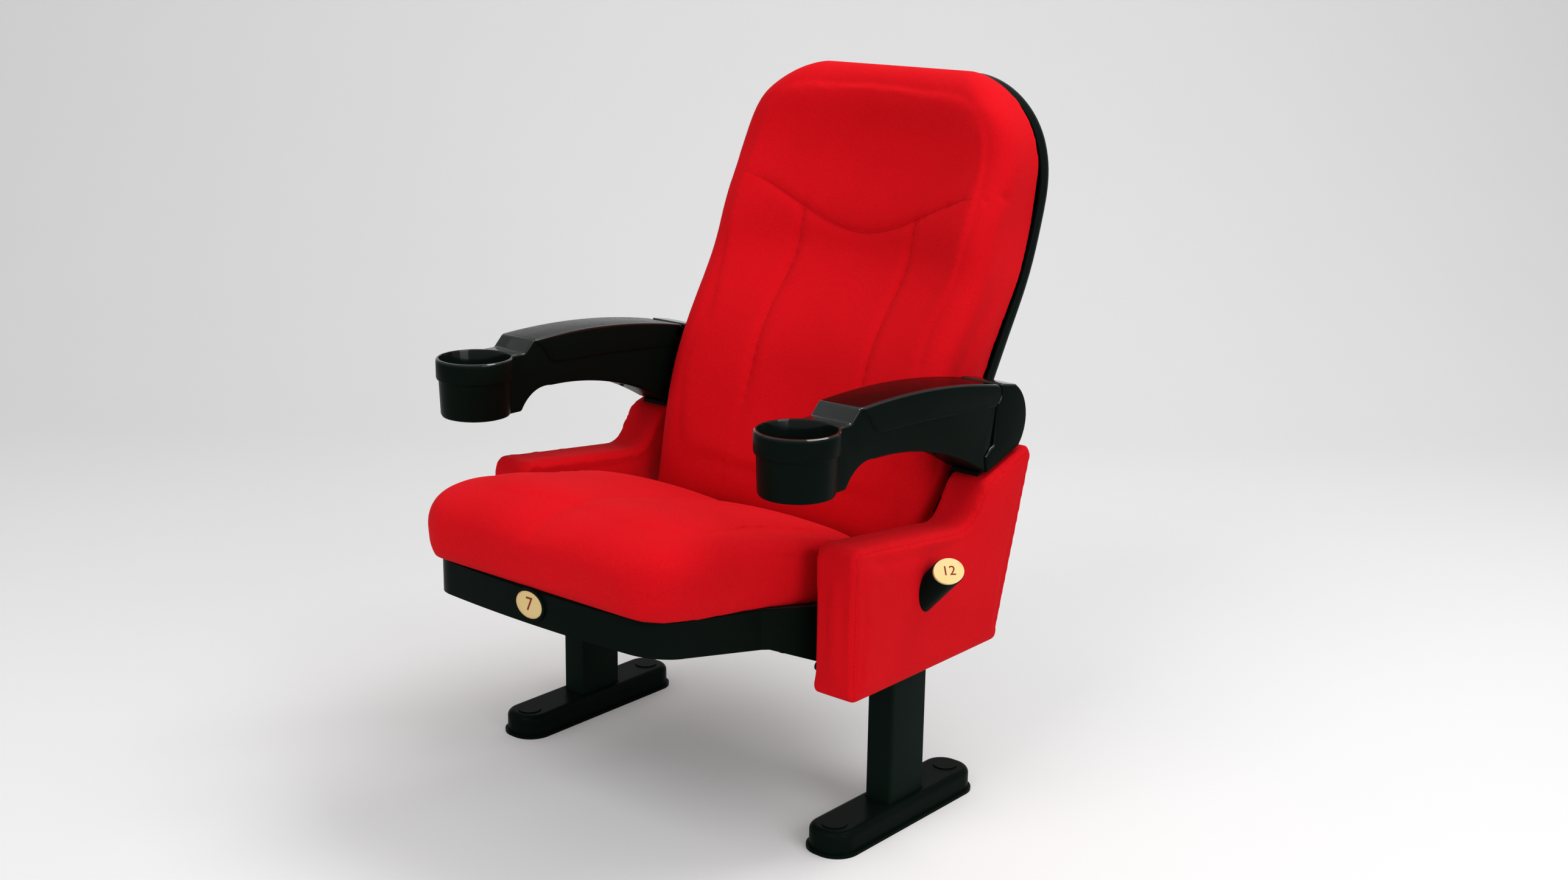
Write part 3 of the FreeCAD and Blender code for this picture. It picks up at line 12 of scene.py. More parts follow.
import bmesh
import bpy
import numpy as np
from mathutils import Matrix, Vector
from mathutils.bvhtree import BVHTree

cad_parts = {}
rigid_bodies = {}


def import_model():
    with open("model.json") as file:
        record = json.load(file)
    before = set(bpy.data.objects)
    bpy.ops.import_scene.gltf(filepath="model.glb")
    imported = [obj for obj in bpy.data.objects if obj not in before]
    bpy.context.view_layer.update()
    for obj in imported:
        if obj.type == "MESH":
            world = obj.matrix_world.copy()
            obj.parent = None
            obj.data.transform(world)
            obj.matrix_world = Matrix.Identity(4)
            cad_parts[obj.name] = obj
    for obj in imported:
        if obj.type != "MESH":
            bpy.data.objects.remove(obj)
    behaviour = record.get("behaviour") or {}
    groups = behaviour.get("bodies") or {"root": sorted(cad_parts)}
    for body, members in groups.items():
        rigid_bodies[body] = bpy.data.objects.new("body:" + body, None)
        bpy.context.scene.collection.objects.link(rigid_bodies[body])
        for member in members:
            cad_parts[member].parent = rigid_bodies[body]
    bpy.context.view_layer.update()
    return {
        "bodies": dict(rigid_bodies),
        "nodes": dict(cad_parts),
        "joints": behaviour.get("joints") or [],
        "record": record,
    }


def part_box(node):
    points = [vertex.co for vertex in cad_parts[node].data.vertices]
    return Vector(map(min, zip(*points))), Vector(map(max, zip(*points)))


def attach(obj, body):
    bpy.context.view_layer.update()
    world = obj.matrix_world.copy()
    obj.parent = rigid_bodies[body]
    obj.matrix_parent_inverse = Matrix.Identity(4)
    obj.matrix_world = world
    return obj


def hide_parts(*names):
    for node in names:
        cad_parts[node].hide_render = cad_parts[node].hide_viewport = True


LOG = logging.getLogger("auditorium_chair")

RGB = tuple[float, float, float]
Flat = tuple[float, float]
Place = tuple[float, float, float]
Shader = "Sock | float | tuple | Vector"

EDGE_HOLD = 0.004
HOLLOW_SHARE = 0.55
CREASE_SHARE = 0.45
SHARP_MOULDING = 32.0
SHARP_TRIM = 40.0


class Side(Enum):
    """The two sides of the chair, as seen by someone who sits in it facing -Y."""

    LEFT = -1
    RIGHT = 1

    @property
    def label(self) -> str:
        """The word that ends the names of this side's pieces."""
        return self.name.lower()


class Body(Enum):
    """The chair's rigid bodies."""

    STANDARDS = "root"
    SEAT = "seat"
    ARM_LEFT = "armrest_left"
    ARM_RIGHT = "armrest_right"

    @classmethod
    def arm(cls, side: Side) -> Body:
        """The lifting arm's body on a side."""
        return cls.ARM_LEFT if side is Side.LEFT else cls.ARM_RIGHT


class Slot(Enum):
    """The record's material slots."""

    RED_FABRIC = "red_fabric"
    BLACK_MOULDING = "black_moulding"
    BLACK_STEEL = "black_steel"
    PLATED_STEEL = "plated_steel"
    BEARING_PLASTIC = "bearing_plastic"
    PLYWOOD = "plywood"
    GOLD_PLATE = "gold_plate"


# Shader maths


class Sock:
    """A shader socket that takes part in Python arithmetic."""

    def __init__(self, graph: Graph, socket: bpy.types.NodeSocket) -> None:
        """Keep the socket and the graph that it belongs to."""
        self.graph = graph
        self.socket = socket

    def sibling(self, name: str) -> Sock:
        """Another output of the same node."""
        return Sock(self.graph, self.socket.node.outputs[name])

    def maths(self, operation: str, *values: Shader) -> Sock:
        """A Math node on some values."""
        return self.graph.node("ShaderNodeMath", {"operation": operation}, dict(enumerate(values)))

    def __add__(self, other: Shader) -> Sock:
        """Sum."""
        return self.maths("ADD", self, other)

    def __radd__(self, other: Shader) -> Sock:
        """Sum, from the right."""
        return self.maths("ADD", other, self)

    def __sub__(self, other: Shader) -> Sock:
        """Difference."""
        return self.maths("SUBTRACT", self, other)

    def __rsub__(self, other: Shader) -> Sock:
        """Difference, from the right."""
        return self.maths("SUBTRACT", other, self)

    def __mul__(self, other: Shader) -> Sock:
        """Product."""
        return self.maths("MULTIPLY", self, other)

    def __rmul__(self, other: Shader) -> Sock:
        """Product, from the right."""
        return self.maths("MULTIPLY", other, self)

    def __abs__(self) -> Sock:
        """Size without sign."""
        return self.maths("ABSOLUTE", self)

    def sine(self) -> Sock:
        """Sine, of radians."""
        return self.maths("SINE", self)

    def between(self, low: float, high: float) -> Sock:
        """How far the value is from low to high, kept within 0 and 1.

        Args:
            low: value that gives 0.
            high: value that gives 1.

        Returns:
            The share.
        """
        return self.graph.node("ShaderNodeMapRange", {"clamp": True},
                               {"Value": self, "From Min": low, "From Max": high})


class Graph:
    """A material's node tree under construction."""

    def __init__(self, name: str) -> None:
        """Start an empty material.

        Args:
            name: the object's name.
        """
        self.material = bpy.data.materials.new(name)
        self.material.use_nodes = True
        self.tree = self.material.node_tree
        self.tree.nodes.clear()

    def node(self, kind: str, settings: dict | None = None, inputs: dict | None = None,
             output: int | str = 0) -> Sock:
        """Add a node.

        Args:
            kind: the node's type.
            settings: its properties, which are set first.
            inputs: values or links of its sockets, by name or number.
            output: the output to return.

        Returns:
            The wanted output.
        """
        node = self.tree.nodes.new(kind)
        for key, value in (settings or {}).items():
            setattr(node, key, value)
        for key, value in (inputs or {}).items():
            if isinstance(value, Sock):
                self.tree.links.new(value.socket, node.inputs[key])
            else:
                node.inputs[key].default_value = value
        return Sock(self, node.outputs[output] if node.outputs else None)

    def blend(self, share: Sock, first: RGB | Sock, second: RGB | Sock) -> Sock:
        """Mix two colours."""
        colours = [c if isinstance(c, Sock) else (*c, 1.0) for c in (first, second)]
        return self.node("ShaderNodeMix", {"data_type": "RGBA"}, {0: share, 6: colours[0], 7: colours[1]}, 2)

    def place(self) -> Sock:
        """Object coordinates."""
        return self.node("ShaderNodeTexCoord", output="Object")

    def noise(self, place: Sock, scale: float, detail: float = 2.0, roughness: float = 0.5) -> Sock:
        """Soft noise between 0 and 1."""
        return self.node("ShaderNodeTexNoise", inputs={"Vector": place, "Scale": scale, "Detail": detail,
                                                       "Roughness": roughness})

    def bump(self, height: Sock, distance: float, strength: float) -> Sock:
        """A normal from a height."""
        inputs = {"Strength": strength, "Distance": distance, "Height": height}
        return self.node("ShaderNodeBump", inputs=inputs)

    def finish(self, sockets: dict) -> bpy.types.Material:
        """Close the tree with a Principled shader.

        Args:
            sockets: values or links of the shader's sockets.

        Returns:
            The material.
        """
        shader = self.node("ShaderNodeBsdfPrincipled", inputs=sockets)
        self.node("ShaderNodeOutputMaterial", inputs={"Surface": shader})
        return self.material


# Finishes


@dataclass(frozen=True)
class WovenFabric:
    """Flat-woven upholstery cloth with a slight nap."""

    name: str
    lit: RGB
    deep: RGB
    thread: float = 0.0017
    fleck_scale: float = 520.0
    cloud_scale: float = 7.0
    roughness: float = 0.74
    gloss: float = 0.04
    nap: float = 0.03

    def material(self) -> bpy.types.Material:
        """The cloth's material.

        Returns:
            The material.
        """
        graph = Graph(self.name)
        place = graph.place()
        x = graph.node("ShaderNodeSeparateXYZ", inputs={0: place}, output="X")
        turns = math.tau / self.thread
        wave_x, wave_y, wave_z = ((axis * turns).sine() for axis in (x, x.sibling("Y"), x.sibling("Z")))
        facing = graph.node("ShaderNodeNewGeometry", output="True Normal")
        nx = graph.node("ShaderNodeSeparateXYZ", inputs={0: facing}, output="X")
        weave = (abs(nx) * wave_y * wave_z + abs(nx.sibling("Y")) * wave_x * wave_z
                 + abs(nx.sibling("Z")) * wave_x * wave_y)
        fleck = graph.noise(place, self.fleck_scale, 3.0, 0.65)
        cloud = graph.noise(place, self.cloud_scale, 3.0, 0.55)
        tone = (weave * 0.10 + fleck * 0.75 + cloud * 0.45 - 0.12).between(0.05, 0.95)
        return graph.finish({
            "Base Color": graph.blend(tone, self.deep, self.lit),
            "Roughness": fleck * 0.16 + self.roughness,
            "Specular IOR Level": self.gloss,
            "Sheen Weight": self.nap,
            "Sheen Roughness": 0.5,
            "Sheen Tint": (1.0, 0.25, 0.25, 1.0),
            "Normal": graph.bump(weave * 0.55 + fleck * 0.8, 0.0006, 0.4),
        })


@dataclass(frozen=True)
class SatinMoulding:
    """Moulded plastic with a fine grain, rubbed a little paler here and there."""

    name: str
    colour: RGB
    rubbed: RGB
    roughness: float = 0.24
    grain: float = 1500.0
    gloss: float = 0.012
    polish: float = 0.0

    def material(self) -> bpy.types.Material:
        """The plastic's material.

        Returns:
            The material.
        """
        graph = Graph(self.name)
        place = graph.place()
        grain = graph.noise(place, self.grain, 2.0)
        cloud = graph.noise(place, 11.0, 3.0)
        scuff = graph.noise(place, 75.0, 5.0, 0.7).between(0.60, 0.78)
        facing = graph.node("ShaderNodeTexCoord", output="Normal")
        upward = graph.node("ShaderNodeSeparateXYZ", inputs={0: facing}, output="Z").between(0.10, 0.45)
        return graph.finish({
            "Base Color": graph.blend(cloud * 0.35 + scuff * 0.25, self.colour, self.rubbed),
            "Roughness": cloud * 0.10 + scuff * 0.10 + grain * 0.05 + self.roughness,
            "Specular IOR Level": self.gloss,
            "Coat Weight": upward * self.polish,
            "Coat Roughness": 0.10,
            "Normal": graph.bump(grain, 0.0003, 0.16),
        })


@dataclass(frozen=True)
class PowderCoat:
    """Powder-coated steel with a faint orange peel."""

    name: str
    colour: RGB
    worn: RGB
    roughness: float = 0.38
    peel_scale: float = 380.0
    gloss: float = 0.02

    def material(self) -> bpy.types.Material:
        """The coating's material.

        Returns:
            The material.
        """
        graph = Graph(self.name)
        place = graph.place()
        peel = graph.noise(place, self.peel_scale, 2.0)
        cloud = graph.noise(place, 9.0, 4.0)
        return graph.finish({
            "Base Color": graph.blend(cloud * 0.4, self.colour, self.worn),
            "Roughness": cloud * 0.12 + peel * 0.08 + self.roughness,
            "Specular IOR Level": self.gloss,
            "Normal": graph.bump(peel, 0.0004, 0.2),
        })


@dataclass(frozen=True)
class BareMetal:
    """Plated or anodised metal with fine brush lines along x."""

    name: str
    colour: RGB
    dull: RGB
    roughness: float = 0.28
    metallic: float = 1.0

    def material(self) -> bpy.types.Material:
        """The metal's material.

        Returns:
            The material.
        """
        graph = Graph(self.name)
        place = graph.place()
        stretched = graph.node("ShaderNodeMapping", inputs={"Vector": place, "Scale": (60.0, 900.0, 900.0)})
        lines = graph.noise(stretched, 1.0, 2.0)
        cloud = graph.noise(place, 40.0, 3.0)
        return graph.finish({
            "Base Color": graph.blend(cloud * 0.5, self.colour, self.dull),
            "Metallic": self.metallic,
            "Roughness": lines * 0.16 + cloud * 0.10 + self.roughness,
            "Normal": graph.bump(lines, 0.0002, 0.15),
        })


@dataclass(frozen=True)
class Plywood:
    """Pressed plywood with a straight grain."""

    name: str
    pale: RGB
    brown: RGB

    def material(self) -> bpy.types.Material:
        """The wood's material.

        Returns:
            The material.
        """
        graph = Graph(self.name)
        place = graph.place()
        stretched = graph.node("ShaderNodeMapping", inputs={"Vector": place, "Scale": (6.0, 90.0, 90.0)})
        grain = graph.noise(stretched, 1.0, 5.0, 0.6)
        return graph.finish({
            "Base Color": graph.blend(grain.between(0.3, 0.7), self.pale, self.brown),
            "Roughness": grain * 0.2 + 0.5,
            "Normal": graph.bump(grain, 0.0005, 0.2),
        })


# Mesh helpers


def link_mesh(name: str, mesh: bpy.types.Mesh) -> bpy.types.Object:
    """Put a mesh into the scene as an object at the origin.

    Args:
        name: the object's name.
        mesh: the mesh.

    Returns:
        The object.
    """
    piece = bpy.data.objects.new(name, mesh)
    bpy.context.scene.collection.objects.link(piece)
    return piece


def from_bmesh(name: str, form: bmesh.types.BMesh) -> bpy.types.Object:
    """Turn a bmesh into a linked object and free it.

    Args:
        name: the object's name.
        form: the bmesh, which is used up.

    Returns:
        The object.
    """
    bmesh.ops.recalc_face_normals(form, faces=form.faces)
    mesh = bpy.data.meshes.new(name)
    form.to_mesh(mesh)
    form.free()
    return link_mesh(name, mesh)


def settle(piece: bpy.types.Object) -> None:
    """Bake a piece's modifiers into its mesh.

    Args:
        piece: the piece to work on.
    """
    graph = bpy.context.evaluated_depsgraph_get()
    mesh = bpy.data.meshes.new_from_object(piece.evaluated_get(graph))
    piece.modifiers.clear()
    old = piece.data
    piece.data = mesh
    bpy.data.meshes.remove(old)


def smooth_by_angle(piece: bpy.types.Object, degrees: float) -> None:
    """Shade smooth, with sharp edges where faces meet at more than an angle.

    Args:
        piece: the piece to work on.
        degrees: the angle, in degrees.
    """
    mesh = piece.data
    mesh.shade_smooth()
    mesh.set_sharp_from_angle(angle=math.radians(degrees))


def coordinates(mesh: bpy.types.Mesh) -> np.ndarray:
    """A mesh's vertices as rows of x, y, z.

    Args:
        mesh: the mesh.

    Returns:
        The rows.
    """
    flat = np.empty(len(mesh.vertices) * 3, np.float64)
    mesh.vertices.foreach_get("co", flat)
    return flat.reshape(-1, 3)


def move_to(mesh: bpy.types.Mesh, points: np.ndarray) -> None:
    """Put a mesh's vertices at new places."""
    mesh.vertices.foreach_set("co", np.asarray(points, np.float32).ravel())
    mesh.update()


def arc(first: Flat, through: Flat, last: Flat, steps: int) -> list[Flat]:
    """Points along the arc through three points, without its last point.

    Args:
        first: where it starts.
        through: a point that it passes.
        last: where it ends.
        steps: how many points to give.

    Returns:
        The points, the first one included.
    """
    (ax, ay), (bx, by), (cx, cy) = first, through, last
    d = 2 * (ax * (by - cy) + bx * (cy - ay) + cx * (ay - by))
    aa, bb, cc = ax * ax + ay * ay, bx * bx + by * by, cx * cx + cy * cy
    ux = (aa * (by - cy) + bb * (cy - ay) + cc * (ay - by)) / d
    uy = (aa * (cx - bx) + bb * (ax - cx) + cc * (bx - ax)) / d
    radius = math.hypot(ax - ux, ay - uy)
    start, middle, end = (math.atan2(py - uy, px - ux) for px, py in (first, through, last))
    turn = (end - start) % math.tau
    if (middle - start) % math.tau > turn:
        turn -= math.tau
    return [(ux + radius * math.cos(start + turn * i / steps), uy + radius * math.sin(start + turn * i / steps))
            for i in range(steps)]


def rounded_corner(before: Flat, corner: Flat, after: Flat, radius: float, steps: int = 8) -> list[Flat]:
    """A corner of an outline replaced by a tangent arc.

    Args:
        before: the corner before it.
        corner: the corner.
        after: the corner after it.
        radius: the arc's radius.
        steps: how many points the arc has.

    Returns:
        The arc's points, both ends included.
    """
    here = Vector(corner)
    back, ahead = (Vector(before) - here).normalized(), (Vector(after) - here).normalized()
    half = math.acos(max(-1.0, min(1.0, back.dot(ahead)))) / 2
    reach = radius / math.tan(half)
    centre = here + (back + ahead).normalized() * (radius / math.sin(half))
    first, last = here + back * reach, here + ahead * reach
    middle = centre + (here - centre).normalized() * radius
    return arc(tuple(first), tuple(middle), tuple(last), steps) + [tuple(last)]


def prism(name: str, outline: Sequence[Flat], centre_x: float, width: float) -> bpy.types.Object:
    """A side outline in y and z thickened along x.

    Args:
        name: the object's name.
        outline: its corners.
        centre_x: middle of its thickness.
        width: its thickness.

    Returns:
        The object.
    """
    form = bmesh.new()
    rings = [[form.verts.new((centre_x + width * end / 2, y, z)) for y, z in outline] for end in (-1, 1)]
    form.faces.new(rings[0])
    form.faces.new(rings[1][::-1])
    count = len(outline)
    for i in range(count):
        j = (i + 1) % count
        form.faces.new((rings[0][j], rings[0][i], rings[1][i], rings[1][j]))
    return from_bmesh(name, form)


def lathe(name: str, profile: Sequence[Flat], centre: Flat, steps: int) -> bpy.types.Object:
    """A round form about an upright axis, closed at its ends.

    Args:
        name: the object's name.
        profile: radius and height of its rings; the first and last have radius 0.
        centre: the axis in x and y.
        steps: how many sides it has.

    Returns:
        The object.
    """
    form = bmesh.new()
    rings = []
    for radius, z in profile:
        if radius == 0:
            rings.append([form.verts.new((*centre, z))])
            continue
        rings.append([form.verts.new((centre[0] + radius * math.cos(math.tau * i / steps),
                                      centre[1] + radius * math.sin(math.tau * i / steps), z))
                      for i in range(steps)])
    for low, high in zip(rings, rings[1:]):
        for i in range(steps):
            j = (i + 1) % steps
            corners = [low[i % len(low)], low[j % len(low)], high[j % len(high)], high[i % len(high)]]
            form.faces.new(list(dict.fromkeys(corners)))
    return from_bmesh(name, form)


def resampled(path: Sequence[Flat], step: float) -> list[Flat]:
    """Points at even steps along a path of straight pieces.

    Args:
        path: the path's corners.
        step: largest distance from point to point.

    Returns:
        The points, both ends included.
    """
    points = np.array(path)
    along = np.concatenate(([0.0], np.cumsum(np.linalg.norm(np.diff(points, axis=0), axis=1))))
    places = np.linspace(0.0, along[-1], max(2, int(along[-1] / step) + 1))
    return [(float(a), float(b)) for a, b in zip(np.interp(places, along, points[:, 0]),
                                                 np.interp(places, along, points[:, 1]))]


def skin_of(piece: bpy.types.Object) -> BVHTree:
    """A search tree of a piece's faces, for rays."""
    return BVHTree.FromPolygons([v.co for v in piece.data.vertices], [p.vertices for p in piece.data.polygons])


def bevel(piece: bpy.types.Object, width: float, segments: int, degrees: float) -> None:
    """Round the edges of a piece that meet at more than an angle.

    Args:
        piece: the piece to work on.
        width: how wide the round is.
        segments: how many faces make it.
        degrees: the angle, in degrees.
    """
    tool = piece.modifiers.new("round", "BEVEL")
    tool.width = width
    tool.segments = segments
    tool.limit_method = "ANGLE"
    tool.angle_limit = math.radians(degrees)
    settle(piece)


def carve(piece: bpy.types.Object, tool: bpy.types.Object, operation: str) -> None:
    """Join a piece with a tool or cut it by the tool, which is used up.

    Args:
        piece: the piece to work on.
        tool: the tool.
        operation: the boolean's kind.
    """
    modifier = piece.modifiers.new("carve", "BOOLEAN")
    modifier.object = tool
    modifier.operation = operation
    modifier.solver = "EXACT"
    settle(piece)
    bpy.data.objects.remove(tool)


def merge(pieces: Sequence[bpy.types.Object], name: str) -> bpy.types.Object:
    """Make one object of several.

    Args:
        pieces: the objects, which are used up.
        name: the object's name.

    Returns:
        The new object.
    """
    form = bmesh.new()
    for piece in pieces:
        form.from_mesh(piece.data)
        bpy.data.objects.remove(piece)
    mesh = bpy.data.meshes.new(name)
    form.to_mesh(mesh)
    form.free()
    return link_mesh(name, mesh)


# Soft goods


@dataclass(frozen=True)
class Stuffing:
    """How a pad is filled: a cloth skin over foam that presses outwards."""

    voxel: float = 0.006
    drawn_in: float = 0.004
    pressure: float = 4.0
    frames: int = 18
    reach: float = 0.008
    give: float = 0.001
    mass: float = 0.3
    stretch: float = 12.0
    shear: float = 4.0
    bend: float = 0.4

    def remesh(self, piece: bpy.types.Object) -> None:
        """Give a piece an even skin.

        Args:
            piece: the piece to work on.
        """
        form = bmesh.new()
        form.from_mesh(piece.data)
        bmesh.ops.remove_doubles(form, verts=form.verts, dist=1e-5)
        form.to_mesh(piece.data)
        form.free()
        skin = piece.modifiers.new("skin", "REMESH")
        skin.mode = "VOXEL"
        skin.voxel_size = self.voxel
        settle(piece)

    def swell(self, piece: bpy.types.Object, held: Callable[[np.ndarray], np.ndarray]) -> None:
        """Fill a piece by cloth simulation and keep the result.

        Args:
            piece: an evenly meshed closed piece.
            held: says which of some points rest on something and stay in place.
        """
        start = coordinates(piece.data)
        still = held(start)
        normals = np.array([tuple(v.normal) for v in piece.data.vertices])
        shrunk = start - normals * np.where(still, 0.0, self.drawn_in)[:, None]
        move_to(piece.data, shrunk)
        group = piece.vertex_groups.new(name="held")
        group.add([int(i) for i in np.flatnonzero(still)], 1.0, "REPLACE")
        cloth = piece.modifiers.new("filling", "CLOTH")
        cloth.settings.quality = 4
        cloth.settings.mass = self.mass
        cloth.settings.tension_stiffness = self.stretch
        cloth.settings.compression_stiffness = self.stretch
        cloth.settings.shear_stiffness = self.shear
        cloth.settings.bending_stiffness = self.bend
        cloth.settings.use_pressure = True
        cloth.settings.uniform_pressure_force = self.pressure
        cloth.settings.vertex_group_mass = "held"
        cloth.settings.effector_weights.gravity = 0.0
        cloth.point_cache.frame_start = 1
        cloth.point_cache.frame_end = self.frames
        scene = bpy.context.scene
        for frame in range(1, self.frames + 1):
            scene.frame_set(frame)
        graph = bpy.context.evaluated_depsgraph_get()
        filled = bpy.data.meshes.new_from_object(piece.evaluated_get(graph))
        moved = coordinates(filled) - shrunk
        bpy.data.meshes.remove(filled)
        piece.modifiers.clear()
        piece.vertex_groups.clear()
        scene.frame_set(1)
        length = np.linalg.norm(moved, axis=1)
        share = np.minimum(1.0, self.reach / np.maximum(length, 1e-9))
        move_to(piece.data, shrunk + moved * share[:, None])

    def lie_on(self, piece: bpy.types.Object, foam: BVHTree) -> None:
        """Lift a skin out to the foam wherever it was drawn under.

        Args:
            piece: the skin.
            foam: the foam's faces.
        """
        points = coordinates(piece.data)
        for i, point in enumerate(points):
            place = Vector(point)
            near, outward, _, _ = foam.find_nearest(place)
            if (place - near).dot(outward) < -self.give:
                points[i] = near - outward * self.give
        move_to(piece.data, points)

    def relax(self, piece: bpy.types.Object, foam: BVHTree, rounds: int) -> None:
        """Even out a skin over its foam and divide it once.

        Args:
            piece: the skin.
            foam: the foam's faces.
            rounds: how often the skin is evened out.
        """
        ease = piece.modifiers.new("ease", "SMOOTH")
        ease.factor = 0.5
        ease.iterations = rounds
        settle(piece)
        self.lie_on(piece, foam)
        fine = piece.modifiers.new("fine", "SUBSURF")
        fine.levels = 1
        fine.render_levels = 1
        settle(piece)
        piece.data.shade_smooth()

    def fill(self, piece: bpy.types.Object, held: Callable[[np.ndarray], np.ndarray], rounds: int = 8) -> None:
        """Remesh, swell and relax a piece over its foam, which is the piece's first form.

        Args:
            piece: a closed piece.
            held: says which of some points rest on something and stay in place.
            rounds: how often the skin is evened out.
        """
        foam = skin_of(piece)
        self.remesh(piece)
        self.swell(piece, held)
        self.relax(piece, foam, rounds)


def sewn_line(distance: np.ndarray, depth: float, soft: float = 0.009, crease: float = 0.0028) -> np.ndarray:
    """How far cloth is drawn in near a seam.

    Args:
        distance: distance of each point from the seam.
        depth: how deep the seam is.
        soft: half width of the hollow beside it.
        crease: half width of the sharp line in it.

    Returns:
        The depth at each point.
    """
    hollow, line = np.exp(-(distance / soft) ** 2), np.exp(-(distance / crease) ** 2)
    return depth * (HOLLOW_SHARE * hollow + CREASE_SHARE * line)


def eased(share: np.ndarray | float) -> np.ndarray:
    """A share from 0 to 1 that starts and ends gently."""
    kept = np.clip(share, 0.0, 1.0)
    return kept * kept * (3 - 2 * kept)


class StitchTree:
    """Geometry nodes that lay sewn stitches along a path."""

    def __init__(self, name: str, thread: bpy.types.Material) -> None:
        """Build the tree.

        Args:
            name: the tree's name.
            thread: the thread's material.
        """
        self.tree = bpy.data.node_groups.new(name, "GeometryNodeTree")
        face = self.tree.interface
        face.new_socket("Geometry", in_out="INPUT", socket_type="NodeSocketGeometry")
        self.pitch = face.new_socket("Stitch pitch", in_out="INPUT", socket_type="NodeSocketFloat")
        self.length = face.new_socket("Stitch length", in_out="INPUT", socket_type="NodeSocketFloat")
        self.radius = face.new_socket("Thread radius", in_out="INPUT", socket_type="NodeSocketFloat")
        face.new_socket("Geometry", in_out="OUTPUT", socket_type="NodeSocketGeometry")
        nodes, links = self.tree.nodes, self.tree.links
        source = nodes.new("NodeGroupInput")
        target = nodes.new("NodeGroupOutput")
        curve = nodes.new("GeometryNodeMeshToCurve")
        spread = nodes.new("GeometryNodeCurveToPoints")
        spread.mode = "LENGTH"
        stitch = nodes.new("GeometryNodeMeshUVSphere")
        stitch.inputs["Segments"].default_value = 6
        stitch.inputs["Rings"].default_value = 5
        stitch.inputs["Radius"].default_value = 0.5
        size = nodes.new("ShaderNodeCombineXYZ")
        place = nodes.new("GeometryNodeInstanceOnPoints")
        real = nodes.new("GeometryNodeRealizeInstances")
        paint = nodes.new("GeometryNodeSetMaterial")
        paint.inputs["Material"].default_value = thread
        width = nodes.new("ShaderNodeMath")
        width.operation = "MULTIPLY"
        width.inputs[1].default_value = 2.0
        links.new(source.outputs["Geometry"], curve.inputs["Mesh"])
        links.new(curve.outputs["Curve"], spread.inputs["Curve"])
        links.new(source.outputs["Stitch pitch"], spread.inputs["Length"])
        links.new(source.outputs["Thread radius"], width.inputs[0])
        links.new(width.outputs[0], size.inputs["X"])
        links.new(width.outputs[0], size.inputs["Y"])
        links.new(source.outputs["Stitch length"], size.inputs["Z"])
        links.new(spread.outputs["Points"], place.inputs["Points"])
        links.new(stitch.outputs["Mesh"], place.inputs["Instance"])
        links.new(spread.outputs["Rotation"], place.inputs["Rotation"])
        links.new(size.outputs["Vector"], place.inputs["Scale"])
        links.new(place.outputs["Instances"], real.inputs["Geometry"])
        links.new(real.outputs["Geometry"], paint.inputs["Geometry"])
        links.new(paint.outputs["Geometry"], target.inputs["Geometry"])

    def sew(self, name: str, paths: Sequence[Sequence[Vector]], pitch: float = 0.0052, length: float = 0.0038,
            radius: float = 0.0006) -> bpy.types.Object:
        """Lay stitches along some paths.

        Args:
            name: the new object's name.
            paths: points of each path.
            pitch: distance from stitch to stitch.
            length: length of a stitch.
            radius: half the thread's thickness.

        Returns:
            The stitches as a plain mesh.
        """
        form = bmesh.new()
        for path in paths:
            corners = [form.verts.new(point) for point in path]
            for pair in zip(corners, corners[1:]):
                form.edges.new(pair)
        mesh = bpy.data.meshes.new(name)
        form.to_mesh(mesh)
        form.free()
        piece = link_mesh(name, mesh)
        modifier = piece.modifiers.new("stitches", "NODES")
        modifier.node_group = self.tree
        modifier[self.pitch.identifier] = pitch
        modifier[self.length.identifier] = length
        modifier[self.radius.identifier] = radius
        settle(piece)
        piece.data.shade_smooth()
        return piece


